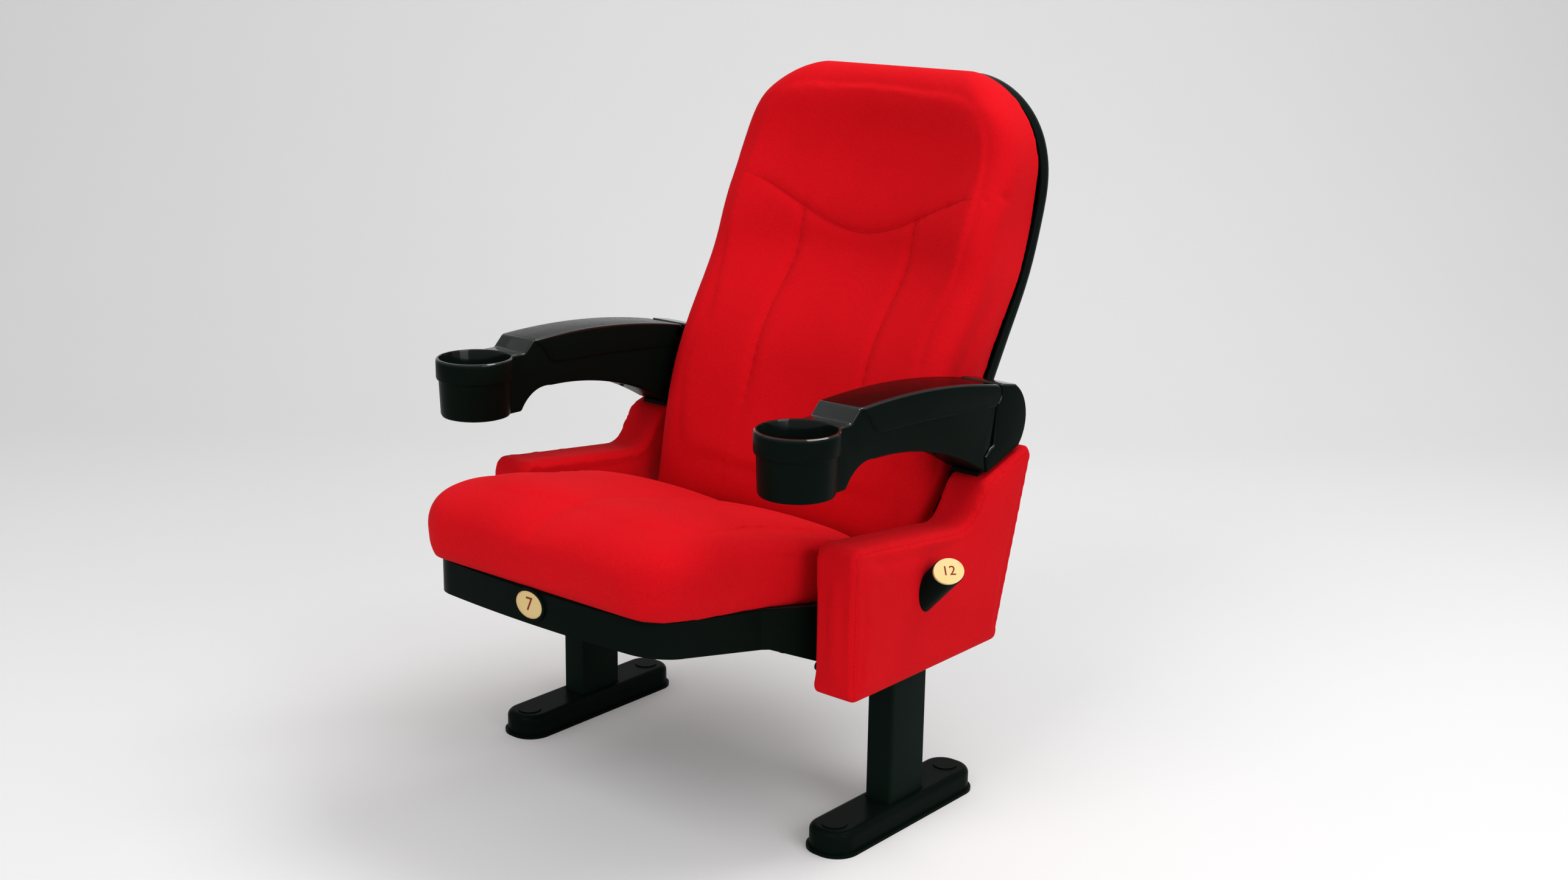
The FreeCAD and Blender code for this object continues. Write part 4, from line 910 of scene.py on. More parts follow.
class ScrewTree:
    """Geometry nodes that set pan-head screws on points."""

    def __init__(self, name: str, head: bpy.types.Material, recess_shade: bpy.types.Material) -> None:
        """Build the tree.

        Args:
            name: the tree's name.
            head: the head's material.
            recess_shade: the raised cross's material, a near-black that paints the shade of a cross recess.
        """
        self.tree = bpy.data.node_groups.new(name, "GeometryNodeTree")
        face = self.tree.interface
        face.new_socket("Geometry", in_out="INPUT", socket_type="NodeSocketGeometry")
        self.radius = face.new_socket("Head radius", in_out="INPUT", socket_type="NodeSocketFloat")
        face.new_socket("Geometry", in_out="OUTPUT", socket_type="NodeSocketGeometry")
        nodes, links = self.tree.nodes, self.tree.links
        source = nodes.new("NodeGroupInput")
        target = nodes.new("NodeGroupOutput")
        points = nodes.new("GeometryNodeMeshToPoints")
        links.new(source.outputs["Geometry"], points.inputs["Mesh"])
        way = nodes.new("GeometryNodeInputNamedAttribute")
        way.data_type = "FLOAT_VECTOR"
        way.inputs["Name"].default_value = "way_out"
        aim = nodes.new("FunctionNodeAlignRotationToVector")
        aim.axis = "Z"
        links.new(way.outputs["Attribute"], aim.inputs["Vector"])
        dome = nodes.new("GeometryNodeMeshCone")
        shape = {"Vertices": 20, "Side Segments": 2, "Radius Top": 0.62, "Radius Bottom": 1.0, "Depth": 0.55}
        for socket, value in shape.items():
            dome.inputs[socket].default_value = value
        cross = nodes.new("GeometryNodeJoinGeometry")
        # The cross is two thin bars raised on the head's top; its near-black material is painted shade that
        # stands for a cut cross recess.
        for size in ((0.95, 0.2, 0.06), (0.2, 0.95, 0.06)):
            bar = nodes.new("GeometryNodeMeshCube")
            bar.inputs["Size"].default_value = size
            lift = nodes.new("GeometryNodeTransform")
            lift.inputs["Translation"].default_value = (0.0, 0.0, 0.54)
            links.new(bar.outputs["Mesh"], lift.inputs["Geometry"])
            links.new(lift.outputs["Geometry"], cross.inputs["Geometry"])
        both = nodes.new("GeometryNodeJoinGeometry")
        for form, material in ((dome.outputs["Mesh"], head), (cross.outputs["Geometry"], recess_shade)):
            place = nodes.new("GeometryNodeInstanceOnPoints")
            real = nodes.new("GeometryNodeRealizeInstances")
            paint = nodes.new("GeometryNodeSetMaterial")
            paint.inputs["Material"].default_value = material
            links.new(points.outputs["Points"], place.inputs["Points"])
            links.new(form, place.inputs["Instance"])
            links.new(aim.outputs["Rotation"], place.inputs["Rotation"])
            links.new(source.outputs["Head radius"], place.inputs["Scale"])
            links.new(place.outputs["Instances"], real.inputs["Geometry"])
            links.new(real.outputs["Geometry"], paint.inputs["Geometry"])
            links.new(paint.outputs["Geometry"], both.inputs["Geometry"])
        links.new(both.outputs["Geometry"], target.inputs["Geometry"])

    def drive(self, name: str, screws: Sequence[tuple[Vector, Vector]], radius: float) -> bpy.types.Object:
        """Set screws.

        Args:
            name: the new object's name.
            screws: foot of each head and the way it points.
            radius: radius of a head.

        Returns:
            The screws as a plain mesh.
        """
        mesh = bpy.data.meshes.new(name)
        mesh.from_pydata([point for point, _ in screws], [], [])
        ways = mesh.attributes.new("way_out", "FLOAT_VECTOR", "POINT")
        ways.data.foreach_set("vector", np.array([tuple(way) for _, way in screws], np.float32).ravel())
        piece = link_mesh(name, mesh)
        modifier = piece.modifiers.new("screws", "NODES")
        modifier.node_group = self.tree
        modifier[self.radius.identifier] = radius
        settle(piece)
        smooth_by_angle(piece, SHARP_TRIM)
        return piece


# Finishes in use


@dataclass
class Palette:
    """Every finish on the chair, ready to use."""

    slots: dict[Slot, bpy.types.Material] = field(default_factory=dict)
    polished: bpy.types.Material | None = None
    thread: bpy.types.Material | None = None
    numeral: bpy.types.Material | None = None
    # Painted shade: the near-black of the screws' raised crosses, standing in for the shade inside a cross
    # recess.
    recess_shade: bpy.types.Material | None = None

    def mix(self) -> Palette:
        """Make the materials.

        Returns:
            The palette itself.
        """
        black, rubbed = (0.0022, 0.0046, 0.0034), (0.0050, 0.0092, 0.0072)
        finishes = {
            Slot.RED_FABRIC: WovenFabric("red_woven_cloth", (0.72, 0.005, 0.011), (0.46, 0.002, 0.005)),
            Slot.BLACK_MOULDING: SatinMoulding("black_satin_moulding", black, rubbed),
            Slot.BLACK_STEEL: PowderCoat("black_powder_coat", (0.0030, 0.0072, 0.0052),
                                         (0.0060, 0.0120, 0.0092)),
            Slot.PLATED_STEEL: BareMetal("zinc_plate", (0.62, 0.62, 0.64), (0.42, 0.42, 0.43)),
            Slot.BEARING_PLASTIC: SatinMoulding("bearing_plastic", (0.56, 0.54, 0.48),
                                                (0.66, 0.64, 0.58), 0.42),
            Slot.PLYWOOD: Plywood("dark_stained_plywood", (0.020, 0.014, 0.010), (0.010, 0.007, 0.005)),
            Slot.GOLD_PLATE: BareMetal("pale_gold_plate", (0.74, 0.55, 0.24), (0.60, 0.42, 0.17), 0.40, 0.35),
        }
        self.slots = {slot: finish.material() for slot, finish in finishes.items()}
        self.polished = SatinMoulding("black_polished_moulding", black, rubbed, polish=0.85).material()
        thread = WovenFabric("red_sewing_thread", (0.50, 0.010, 0.016), (0.30, 0.004, 0.008), 0.0006)
        self.thread = thread.material()
        self.numeral = SatinMoulding("numeral_paint", (0.20, 0.03, 0.015), (0.26, 0.05, 0.03), 0.4).material()
        # Painted shade: a near-black for the screws' raised crosses, in place of the shade inside a real cross
        # recess.
        self.recess_shade = SatinMoulding("screw_cross_painted_shade", (0.004, 0.004, 0.004), (0.01, 0.01, 0.01), 0.5).material()
        return self

    def dress(self, piece: bpy.types.Object, slot: Slot) -> None:
        """Give a piece the finish of a slot, and no other."""
        piece.data.materials.clear()
        piece.data.materials.append(self.slots[slot])

    def polish(self, piece: bpy.types.Object) -> None:
        """Give a piece the moulding that hands keep polished, and no other."""
        piece.data.materials.clear()
        piece.data.materials.append(self.polished)

    def dress_frame(self, frame: dict) -> None:
        """Give every CAD node the finish of its record slot.

        Args:
            frame: the loaded frame.
        """
        for part in frame["record"]["subparts"]:
            self.dress(frame["nodes"][part["node"]], Slot(part["material_slot"]))
        for side in Side:
            self.dress(frame["nodes"][f"seat_stop_{side.label}"], Slot.BLACK_STEEL)


def deliver(piece: bpy.types.Object, body: Body, nodes: Iterable[str] = ()) -> None:
    """Hand a finished piece to the frame.

    Args:
        piece: the piece.
        body: what it rides on.
        nodes: CAD nodes that it stands for.
    """
    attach(piece, body.value)
    names = tuple(nodes)
    if names:
        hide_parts(*names)
    LOG.info("%s: %d faces on %s", piece.name, len(piece.data.polygons), body.value)


def node_copy(frame: dict, node: str, name: str) -> bpy.types.Object:
    """A loose copy of a CAD node."""
    return link_mesh(name, frame["nodes"][node].data.copy())


# Sub-assemblies


@dataclass
class BackCushion:
    """The raked back cushion with its head seam and two sewn channels."""

    seam_end_z: float = 0.814
    seam_dip_z: float = 0.738
    seam_half: float = 0.238
    seam_depth: float = 0.0046
    seam_fade: Flat = (0.160, 0.205)
    channel_x: float = 0.102
    channel_low: float = 0.478
    channel_depth: float = 0.0034
    stitch_start: float = 0.03
    channel_rise: float = 0.07
    channel_gap: float = 0.006
    rest_heights: tuple[float, ...] = (0.335, 0.66, 0.74, 0.80, 0.868, 0.98)
    rest_depths: tuple[float, ...] = (0.115, 0.305, 0.343, 0.359, 0.365, 0.365)
    groove_depth: float = 0.004
    groove_reach: float = 0.008
    ease_radius: float = 0.026
    ease_rounds: int = 14
    front_start: float = 0.15
    front_span: float = 0.4
    fill: float = 0.8
    stuffing: Stuffing = Stuffing()

    def seam_z(self, x: np.ndarray | float) -> np.ndarray:
        """Height of the head seam at a place across the back."""
        return self.seam_dip_z + (self.seam_end_z - self.seam_dip_z) * eased(np.abs(x) / self.seam_half)

    def close_ends(self, piece: bpy.types.Object) -> None:
        """Lift the floor of the head seam's groove to the skin where the seam fades out at the sides.

        Args:
            piece: the piece to work on.
        """
        skin = skin_of(piece)
        points = coordinates(piece.data)
        start, end = self.seam_fade
        fade = eased((np.abs(points[:, 0]) - start) / (end - start))
        near = np.abs(points[:, 2] - self.seam_z(points[:, 0])) < 4 * self.groove_reach
        for i in np.flatnonzero(near & (fade > 0)):
            x, y, z = points[i]
            hits = [skin.ray_cast(Vector((x, -1.0, z + step)), Vector((0, 1, 0)))[0]
                    for step in (-self.groove_reach, self.groove_reach)]
            if None in hits:
                continue
            sunk = y - (hits[0].y + hits[1].y) / 2
            if 0.5 * self.groove_depth < sunk < 1.6 * self.groove_depth:
                points[i, 1] -= self.groove_depth * fade[i]
        move_to(piece.data, points)

    def ease_ends(self, piece: bpy.types.Object) -> None:
        """Even out the skin where the groove runs out over the rounded border.

        Args:
            piece: the piece to work on.
        """
        points = coordinates(piece.data)
        away = np.hypot(np.abs(points[:, 0]) - self.seam_half, points[:, 2] - self.seam_end_z)
        share = 1 - eased(2 * away / self.ease_radius - 1)
        ends = piece.vertex_groups.new(name="ends")
        for i in np.flatnonzero(share > 0):
            ends.add([int(i)], float(share[i]), "REPLACE")
        ease = piece.modifiers.new("ease", "SMOOTH")
        ease.factor = 0.5
        ease.iterations = self.ease_rounds
        ease.vertex_group = ends.name
        settle(piece)
        piece.vertex_groups.clear()

    def draw_in(self, piece: bpy.types.Object) -> None:
        """Pull the front of the cushion in along its seams.

        Args:
            piece: the piece to work on.
        """
        points = coordinates(piece.data)
        normals = np.array([tuple(v.normal) for v in piece.data.vertices])
        front = np.clip((-normals[:, 1] - self.front_start) / self.front_span, 0.0, 1.0)
        x, z = points[:, 0], points[:, 2]
        slope = (self.seam_z(x + 0.001) - self.seam_z(x - 0.001)) / 0.002
        seam = np.abs(z - self.seam_z(x)) / np.sqrt(1 + slope ** 2)
        start, end = self.seam_fade
        depth = sewn_line(seam, self.seam_depth) * (1 - eased((np.abs(x) - start) / (end - start)))
        above = eased((z - self.channel_low) / self.channel_rise)
        fade = above * eased((self.seam_z(x) - z) / (2 * self.channel_gap) + 0.5)
        channel = sewn_line(np.abs(np.abs(x) - self.channel_x), self.channel_depth) * fade
        move_to(piece.data, points - normals * ((depth + channel) * front)[:, None])

    def seam_paths(self, piece: bpy.types.Object) -> list[list[Vector]]:
        """The seams' lines on the cushion's skin.

        Args:
            piece: the piece to work on.

        Returns:
            The points of each seam.
        """
        tree = skin_of(piece)
        end = self.seam_fade[1]
        lines = [[(x, float(self.seam_z(x))) for x in np.linspace(-end, end, 84)]]
        for side in Side:
            x = self.channel_x * side.value
            low, high = self.channel_low + self.stitch_start, float(self.seam_z(x)) - self.channel_gap
            lines.append([(x, z) for z in np.linspace(low, high, 60)])
        paths = []
        for line in lines:
            hits = [tree.ray_cast(Vector((x, -1.0, z)), Vector((0, 1, 0)))[0] for x, z in line]
            paths.append([hit for hit in hits if hit is not None])
        return paths

    def build(self, frame: dict, palette: Palette, stitches: StitchTree) -> None:
        """Make the cushion and its stitches.

        Args:
            frame: the loaded frame.
            palette: the chair's finishes.
            stitches: the tree that lays stitches.
        """
        piece = node_copy(frame, "back_cushion", "back_cushion_cover")
        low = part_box("back_cushion")[0].z

        def rests(points: np.ndarray) -> np.ndarray:
            """Which points lie on the back board or at the lower edge."""
            rear = points[:, 1] > np.interp(points[:, 2], self.rest_heights, self.rest_depths)
            return rear | (points[:, 2] < low + EDGE_HOLD)

        self.close_ends(piece)
        self.stuffing.fill(piece, rests)
        self.ease_ends(piece)
        self.draw_in(piece)
        palette.dress(piece, Slot.RED_FABRIC)
        deliver(piece, Body.STANDARDS, ("back_cushion",))
        thread = stitches.sew("back_stitching", self.seam_paths(piece))
        deliver(thread, Body.STANDARDS)


@dataclass
class TailFlap:
    """The hemmed cloth flap that hangs from the back cushion and closes the gap behind the seat."""

    half: float = 0.232
    top: float = 0.342
    hem: float = 0.284
    depth: float = 0.1072
    thickness: float = 0.0016
    hem_roll: float = 0.0012
    hem_width: float = 0.008
    ripple: float = 0.0007
    ripple_length: float = 0.061
    columns: int = 120
    rows: int = 20

    def build(self, palette: Palette) -> None:
        """Make the flap.

        Args:
            palette: the chair's finishes.
        """
        form = bmesh.new()
        grid = []
        for z in np.linspace(self.top, self.hem, self.rows):
            hang = (self.top - z) / (self.top - self.hem)
            row = []
            for x in np.linspace(-self.half, self.half, self.columns):
                wave = self.ripple * hang * math.sin(x * math.tau / self.ripple_length)
                row.append(form.verts.new((x, self.depth + wave, z)))
            grid.append(row)
        for upper, lower in zip(grid, grid[1:]):
            for i in range(self.columns - 1):
                form.faces.new((upper[i], lower[i], lower[i + 1], upper[i + 1]))
        piece = from_bmesh("back_tail_flap", form)
        hemmed = piece.vertex_groups.new(name="hem")
        low = [v.index for v in piece.data.vertices if v.co.z < self.hem + self.hem_width]
        hemmed.add(low, 1.0, "REPLACE")
        thick = piece.modifiers.new("cloth", "SOLIDIFY")
        thick.thickness = self.thickness + self.hem_roll
        thick.offset = 0.0
        thick.vertex_group = "hem"
        thick.thickness_vertex_group = self.thickness / (self.thickness + self.hem_roll)
        settle(piece)
        smooth_by_angle(piece, SHARP_TRIM)
        palette.dress(piece, Slot.RED_FABRIC)
        deliver(piece, Body.STANDARDS)


@dataclass
class SeatCushion:
    """The seat cushion with its full nose."""

    stuffing: Stuffing = Stuffing()
    edge_z: float = 0.357
    edge_front: float = -0.389
    edge_fall: float = math.tan(math.radians(7.2))
    ridge_lift: float = 0.0045
    ridge_start: Flat = (-0.270, -0.150)
    ridge_end: Flat = (-0.010, 0.060)
    ridge_lean: float = 0.90
    ridge_span: float = 0.10
    fill: float = 0.85

    def draw_ridges(self, piece: bpy.types.Object) -> None:
        """Pull the skin tight over the foam's shoulders, where the top turns down into the flanks.

        Args:
            piece: the piece to work on.
        """
        points = coordinates(piece.data)
        normals = np.array([tuple(v.normal) for v in piece.data.vertices])
        lean = np.sqrt(0.5) * (np.abs(normals[:, 0]) + normals[:, 2])
        y = points[:, 1]
        start = eased((y - self.ridge_start[0]) / (self.ridge_start[1] - self.ridge_start[0]))
        end = 1 - eased((y - self.ridge_end[0]) / (self.ridge_end[1] - self.ridge_end[0]))
        lift = self.ridge_lift * eased((lean - self.ridge_lean) / self.ridge_span) * start * end
        move_to(piece.data, points + normals * lift[:, None])

    def build(self, frame: dict, palette: Palette) -> None:
        """Make the cushion.

        Args:
            frame: the loaded frame.
            palette: the chair's finishes.
        """
        piece = node_copy(frame, "seat_cushion", "seat_cushion_cover")

        def rests(points: np.ndarray) -> np.ndarray:
            """Which points lie at the edge that is tacked to the seat pan."""
            edge = self.edge_z - (points[:, 1] - self.edge_front) * self.edge_fall
            return points[:, 2] < edge + EDGE_HOLD

        self.stuffing.fill(piece, rests)
        self.draw_ridges(piece)
        palette.dress(piece, Slot.RED_FABRIC)
        deliver(piece, Body.SEAT, ("seat_cushion",))


@dataclass
class SidePanel:
    """A padded panel that covers a standard's steel frame."""

    side: Side
    centre_x: float = 0.3005
    width: float = 0.070
    corners: tuple[Place, ...] = (
        (-0.151, 0.218, 0.010), (0.1755, 0.218, 0.012), (0.2525, 0.4889, 0.010), (0.1395, 0.4533, 0.022),
        (0.100, 0.3975, 0.040), (-0.151, 0.424, 0.018))
    rest_z: float = 0.2205
    edge_round: float = 0.007
    seam_inset: float = 0.0065
    seam_depth: float = 0.0016
    seam_soft: float = 0.004
    seam_crease: float = 0.0016
    seam_step: float = 0.004
    outer_facing: float = 0.2
    edge_angle: float = 50.0
    fill: float = 0.9
    stuffing: Stuffing = Stuffing(voxel=0.005, drawn_in=0.003, pressure=3.0, reach=0.005)

    def outline(self) -> list[Flat]:
        """The panel's side outline with its corners rounded.

        Returns:
            The outline's points.
        """
        points: list[Flat] = []
        count = len(self.corners)
        for i, (y, z, radius) in enumerate(self.corners):
            before, after = self.corners[i - 1][:2], self.corners[(i + 1) % count][:2]
            points += rounded_corner(before, (y, z), after, radius)
        return points

    def seam_line(self) -> list[Flat]:
        """The seam inside the outline, from the rear of the head forward and down the front edge.

        Returns:
            The seam's points.
        """
        ring = self.outline()
        corner = len(ring) // len(self.corners)
        open_path = resampled(ring[3 * corner - 1:] + ring[:1], self.seam_step)
        points = np.array(open_path)
        ahead = np.gradient(points, axis=0)
        ahead /= np.linalg.norm(ahead, axis=1)[:, None]
        inward = np.stack((-ahead[:, 1], ahead[:, 0]), axis=1)
        return [tuple(point) for point in points + inward * self.seam_inset]

    def draw_in(self, piece: bpy.types.Object) -> None:
        """Pull the panel's outer face in along its seam.

        Args:
            piece: the piece to work on.
        """
        points = coordinates(piece.data)
        normals = np.array([tuple(v.normal) for v in piece.data.vertices])
        outer = normals[:, 0] * self.side.value > self.outer_facing
        seam = np.array(self.seam_line())
        near = points[outer][:, 1:]
        distance = np.min(np.linalg.norm(near[:, None, :] - seam[None, :, :], axis=2), axis=1)
        depth = sewn_line(distance, self.seam_depth, self.seam_soft, self.seam_crease)
        points[outer] -= normals[outer] * depth[:, None]
        move_to(piece.data, points)

    def build(self, palette: Palette, stitches: StitchTree) -> None:
        """Make the panel and the stitching along its outer edge.

        Args:
            palette: the chair's finishes.
            stitches: the tree that lays stitches.
        """
        x = self.centre_x * self.side.value
        piece = prism(f"side_panel_cover_{self.side.label}", self.outline(), x, self.width)
        bevel(piece, self.edge_round, 3, self.edge_angle)

        def rests(points: np.ndarray) -> np.ndarray:
            """Which points lie at the panel's lower edge."""
            return points[:, 2] < self.rest_z

        self.stuffing.fill(piece, rests, 3)
        self.draw_in(piece)
        palette.dress(piece, Slot.RED_FABRIC)
        deliver(piece, Body.STANDARDS, (f"side_upholstery_{self.side.label}",))
        skin = skin_of(piece)
        way = Vector((-self.side.value, 0.0, 0.0))
        hits = [skin.ray_cast(Vector((self.side.value, y, z)), way)[0] for y, z in self.seam_line()]
        path = [hit for hit in hits if hit is not None]
        thread = stitches.sew(f"side_panel_stitching_{self.side.label}", [path], pitch=0.0046, length=0.0032,
                              radius=0.0005)
        deliver(thread, Body.STANDARDS)


@dataclass
class Armrest:
    """A lifting arm with its cup."""

    side: Side
    centre_x: float = 0.290
    width: float = 0.069
    band_proud: float = 0.0016
    step: Flat = (-0.136, 0.602)
    crown: Flat = (0.0157, 0.60148)
    end: Flat = (0.166, 0.581)
    knuckle_back: Flat = (0.17641, 0.56826)
    knuckle_foot: Flat = (0.16828, 0.55621)
    heel: Flat = (0.156, 0.496)
    jog: Flat = (0.143, 0.4855)
    tip: Flat = (0.147, 0.46157)
    arch_high: Flat = (0.0283, 0.5131)
    arch_end: Flat = (-0.100, 0.531)
    arch_turn: Flat = (-0.142, 0.52218)
    arch_foot: Flat = (-0.1588, 0.503)
    shelf: Flat = (-0.152, 0.586)
    inside: float = -0.200
    relief: tuple[Flat, ...] = (
        (0.1665, 0.549), (0.129, 0.551), (0.032, 0.558), (-0.014, 0.560), (-0.059, 0.562), (-0.094, 0.5635),
        (-0.107, 0.570), (-0.119, 0.588))
    cup_y: float = -0.216
    cup_sides: int = 72
    cup_bowl: tuple[Flat, ...] = (
        (0.0, 0.503), (0.0435, 0.503), (0.0470, 0.5042), (0.0487, 0.5075), (0.0505, 0.5545), (0.0512, 0.5562),
        (0.0532, 0.5572), (0.0540, 0.5592), (0.0540, 0.5825), (0.0534, 0.5848), (0.0518, 0.5860), (0.0, 0.5860))
    cup_hollow: tuple[Flat, ...] = (
        (0.0, 0.5065), (0.0425, 0.5065), (0.0449, 0.5082), (0.0490, 0.5835), (0.0505, 0.5875), (0.0515, 0.600),
        (0.0, 0.600))
    beam_round: float = 0.0045
    band_round: float = 0.0036

    def outline(self) -> list[Flat]:
        """Side outline of the arm, from its step round to its shelf.

        Returns:
            The outline's points.
        """
        points = arc(self.step, self.crown, self.end, 30)
        points += arc(self.end, self.knuckle_back, self.knuckle_foot, 10)
        points += [self.knuckle_foot, self.heel, self.jog]
        points += arc(self.tip, self.arch_high, self.arch_end, 26)
        points += arc(self.arch_end, self.arch_turn, self.arch_foot, 12)
        points += [self.arch_foot, (self.inside, self.arch_foot[1]), (self.inside, self.shelf[1]), self.shelf]
        return points

    def band_outline(self) -> list[Flat]:
        """Outline of the raised band along the top of the arm's flanks.

        Returns:
            The outline's points.
        """
        points = arc(self.step, self.crown, self.end, 30)
        points += arc(self.end, self.knuckle_back, self.knuckle_foot, 10)
        return points + [self.knuckle_foot, *self.relief]

    def moulding(self) -> bpy.types.Object:
        """The arm's moulding with its cup.

        Returns:
            The arm.
        """
        x = self.centre_x * self.side.value
        name = f"armrest_moulding_{self.side.label}"
        beam = prism(name, self.outline(), x, self.width - 2 * self.band_proud)
        bevel(beam, self.beam_round, 4, SHARP_MOULDING)
        band = prism(f"{name}_band", self.band_outline(), x, self.width)
        bevel(band, self.band_round, 4, SHARP_MOULDING)
        bowl = lathe(f"{name}_bowl", self.cup_bowl, (x, self.cup_y), self.cup_sides)
        hollow = lathe(f"{name}_hollow", self.cup_hollow, (x, self.cup_y), self.cup_sides)
        carve(beam, bowl, "UNION")
        carve(beam, hollow, "DIFFERENCE")
        return merge((beam, band), name)

    def build(self, palette: Palette) -> None:
        """Make the arm.

        Args:
            palette: the chair's finishes.
        """
        piece = self.moulding()
        smooth_by_angle(piece, SHARP_MOULDING)
        palette.polish(piece)
        deliver(piece, Body.arm(self.side), (f"arm_shell_{self.side.label}",))


@dataclass
class ArmHub:
    """The fixed moulded hub behind an arm."""

    side: Side
    centre_x: float = 0.290
    width: float = 0.069
    foot: Flat = (0.1477, 0.46111)
    rear_foot: Flat = (0.2236, 0.48503)
    far: Flat = (0.23946, 0.53279)
    top: Flat = (0.21029, 0.57445)
    notch: Flat = (0.17711, 0.5803)
    knuckle_back: Flat = (0.17711, 0.56826)
    knuckle_middle: Flat = (0.17477, 0.56060)
    knuckle_below: Flat = (0.16854, 0.55556)
    slit: tuple[Flat, ...] = ((0.164, 0.4967), (0.1567, 0.4953), (0.1437, 0.4848))
    edge_round: float = 0.0032

    def build(self, palette: Palette) -> None:
        """Make the hub.

        Args:
            palette: the chair's finishes.
        """
        outline = [self.foot] + arc(self.rear_foot, self.far, self.top, 26)
        outline += [self.top, self.notch] + arc(self.knuckle_back, self.knuckle_middle, self.knuckle_below, 6)
        outline += [self.knuckle_below, *self.slit]
        x = self.centre_x * self.side.value
        piece = prism(f"arm_hub_moulding_{self.side.label}", outline, x, self.width)
        bevel(piece, self.edge_round, 4, SHARP_MOULDING)
        smooth_by_angle(piece, SHARP_MOULDING)
        palette.polish(piece)
        deliver(piece, Body.STANDARDS, (f"arm_hub_cover_{self.side.label}",))


@dataclass
class LegColumn:
    """A standard's rectangular tube with its rolled corners."""

    side: Side
    centre: Flat = (0.290, 0.0056)
    size: Flat = (0.042, 0.076)
    low: float = 0.008
    high: float = 0.222
    roll: float = 0.0045

    def build(self, palette: Palette) -> None:
        """Make the tube.

        Args:
            palette: the chair's finishes.
        """
        x, y = self.centre[0] * self.side.value, self.centre[1]
        a, b = self.size[0] / 2, self.size[1] / 2
        corners = [(x - a, y - b), (x + a, y - b), (x + a, y + b), (x - a, y + b)]
        ring: list[Flat] = []
        for i, corner in enumerate(corners):
            ring += rounded_corner(corners[i - 1], corner, corners[(i + 1) % 4], self.roll, 6)
        form = bmesh.new()
        rows = [[form.verts.new((px, py, z)) for px, py in ring] for z in (self.low, self.high)]
        form.faces.new(rows[0])
        form.faces.new(rows[1])
        for i in range(len(ring)):
            j = (i + 1) % len(ring)
            form.faces.new((rows[0][i], rows[0][j], rows[1][j], rows[1][i]))
        piece = from_bmesh(f"leg_tube_{self.side.label}", form)
        smooth_by_angle(piece, 30.0)
        palette.dress(piece, Slot.BLACK_STEEL)
        deliver(piece, Body.STANDARDS, (f"leg_column_{self.side.label}",))


@dataclass
class Fasteners:
    """Visible screws in the back shell, the seat pan and the arms' lower covers."""

    radius: float = 0.0048
    shell_x: float = 0.185
    shell_heights: tuple[float, ...] = (0.43, 0.60, 0.77, 0.90)
    pan_places: tuple[Flat, ...] = ((0.12, -0.33), (0.12, -0.235), (0.20, -0.13))
    cover_depths: tuple[float, ...] = (-0.07, 0.075)
    arm_x: float = 0.290
    below_arm: float = 0.3
    cover_share: float = 0.8
    proud: float = 0.0002

    def seated(self, node: bpy.types.Object, start: Vector, way: Vector) -> tuple[Vector, Vector]:
        """Where a screw that is driven along a way meets a piece.

        Args:
            node: the piece.
            start: a point before the piece.
            way: the way that the screw is driven.

        Returns:
            The head's foot and the way that it points.
        """
        point, normal, _, _ = skin_of(node).ray_cast(start, way)
        outward = normal if normal.dot(way) < 0 else -normal
        return point + outward * self.proud, outward

    def build(self, frame: dict, screws: ScrewTree) -> None:
        """Drive all screws.

        Args:
            frame: the loaded frame.
            screws: the tree that sets screws.
        """
        nodes = frame["nodes"]
        forward, up = Vector((0, -1, 0)), Vector((0, 0, 1))
        shell = [self.seated(nodes["back_shell"], Vector((self.shell_x * side.value, 1.0, z)), forward)
                 for side in Side for z in self.shell_heights]
        deliver(screws.drive("back_shell_screws", shell, self.radius), Body.STANDARDS)
        pan = [self.seated(nodes["seat_pan"], Vector((x * side.value, y, 0.0)), up)
               for side in Side for x, y in self.pan_places]
        deliver(screws.drive("seat_pan_screws", pan, self.radius), Body.SEAT)
        for side in Side:
            cover = nodes[f"arm_lower_cover_{side.label}"]
            heads = [self.seated(cover, Vector((self.arm_x * side.value, y, self.below_arm)), up)
                     for y in self.cover_depths]
            piece = screws.drive(f"arm_cover_screws_{side.label}", heads, self.radius * self.cover_share)
            deliver(piece, Body.arm(side))


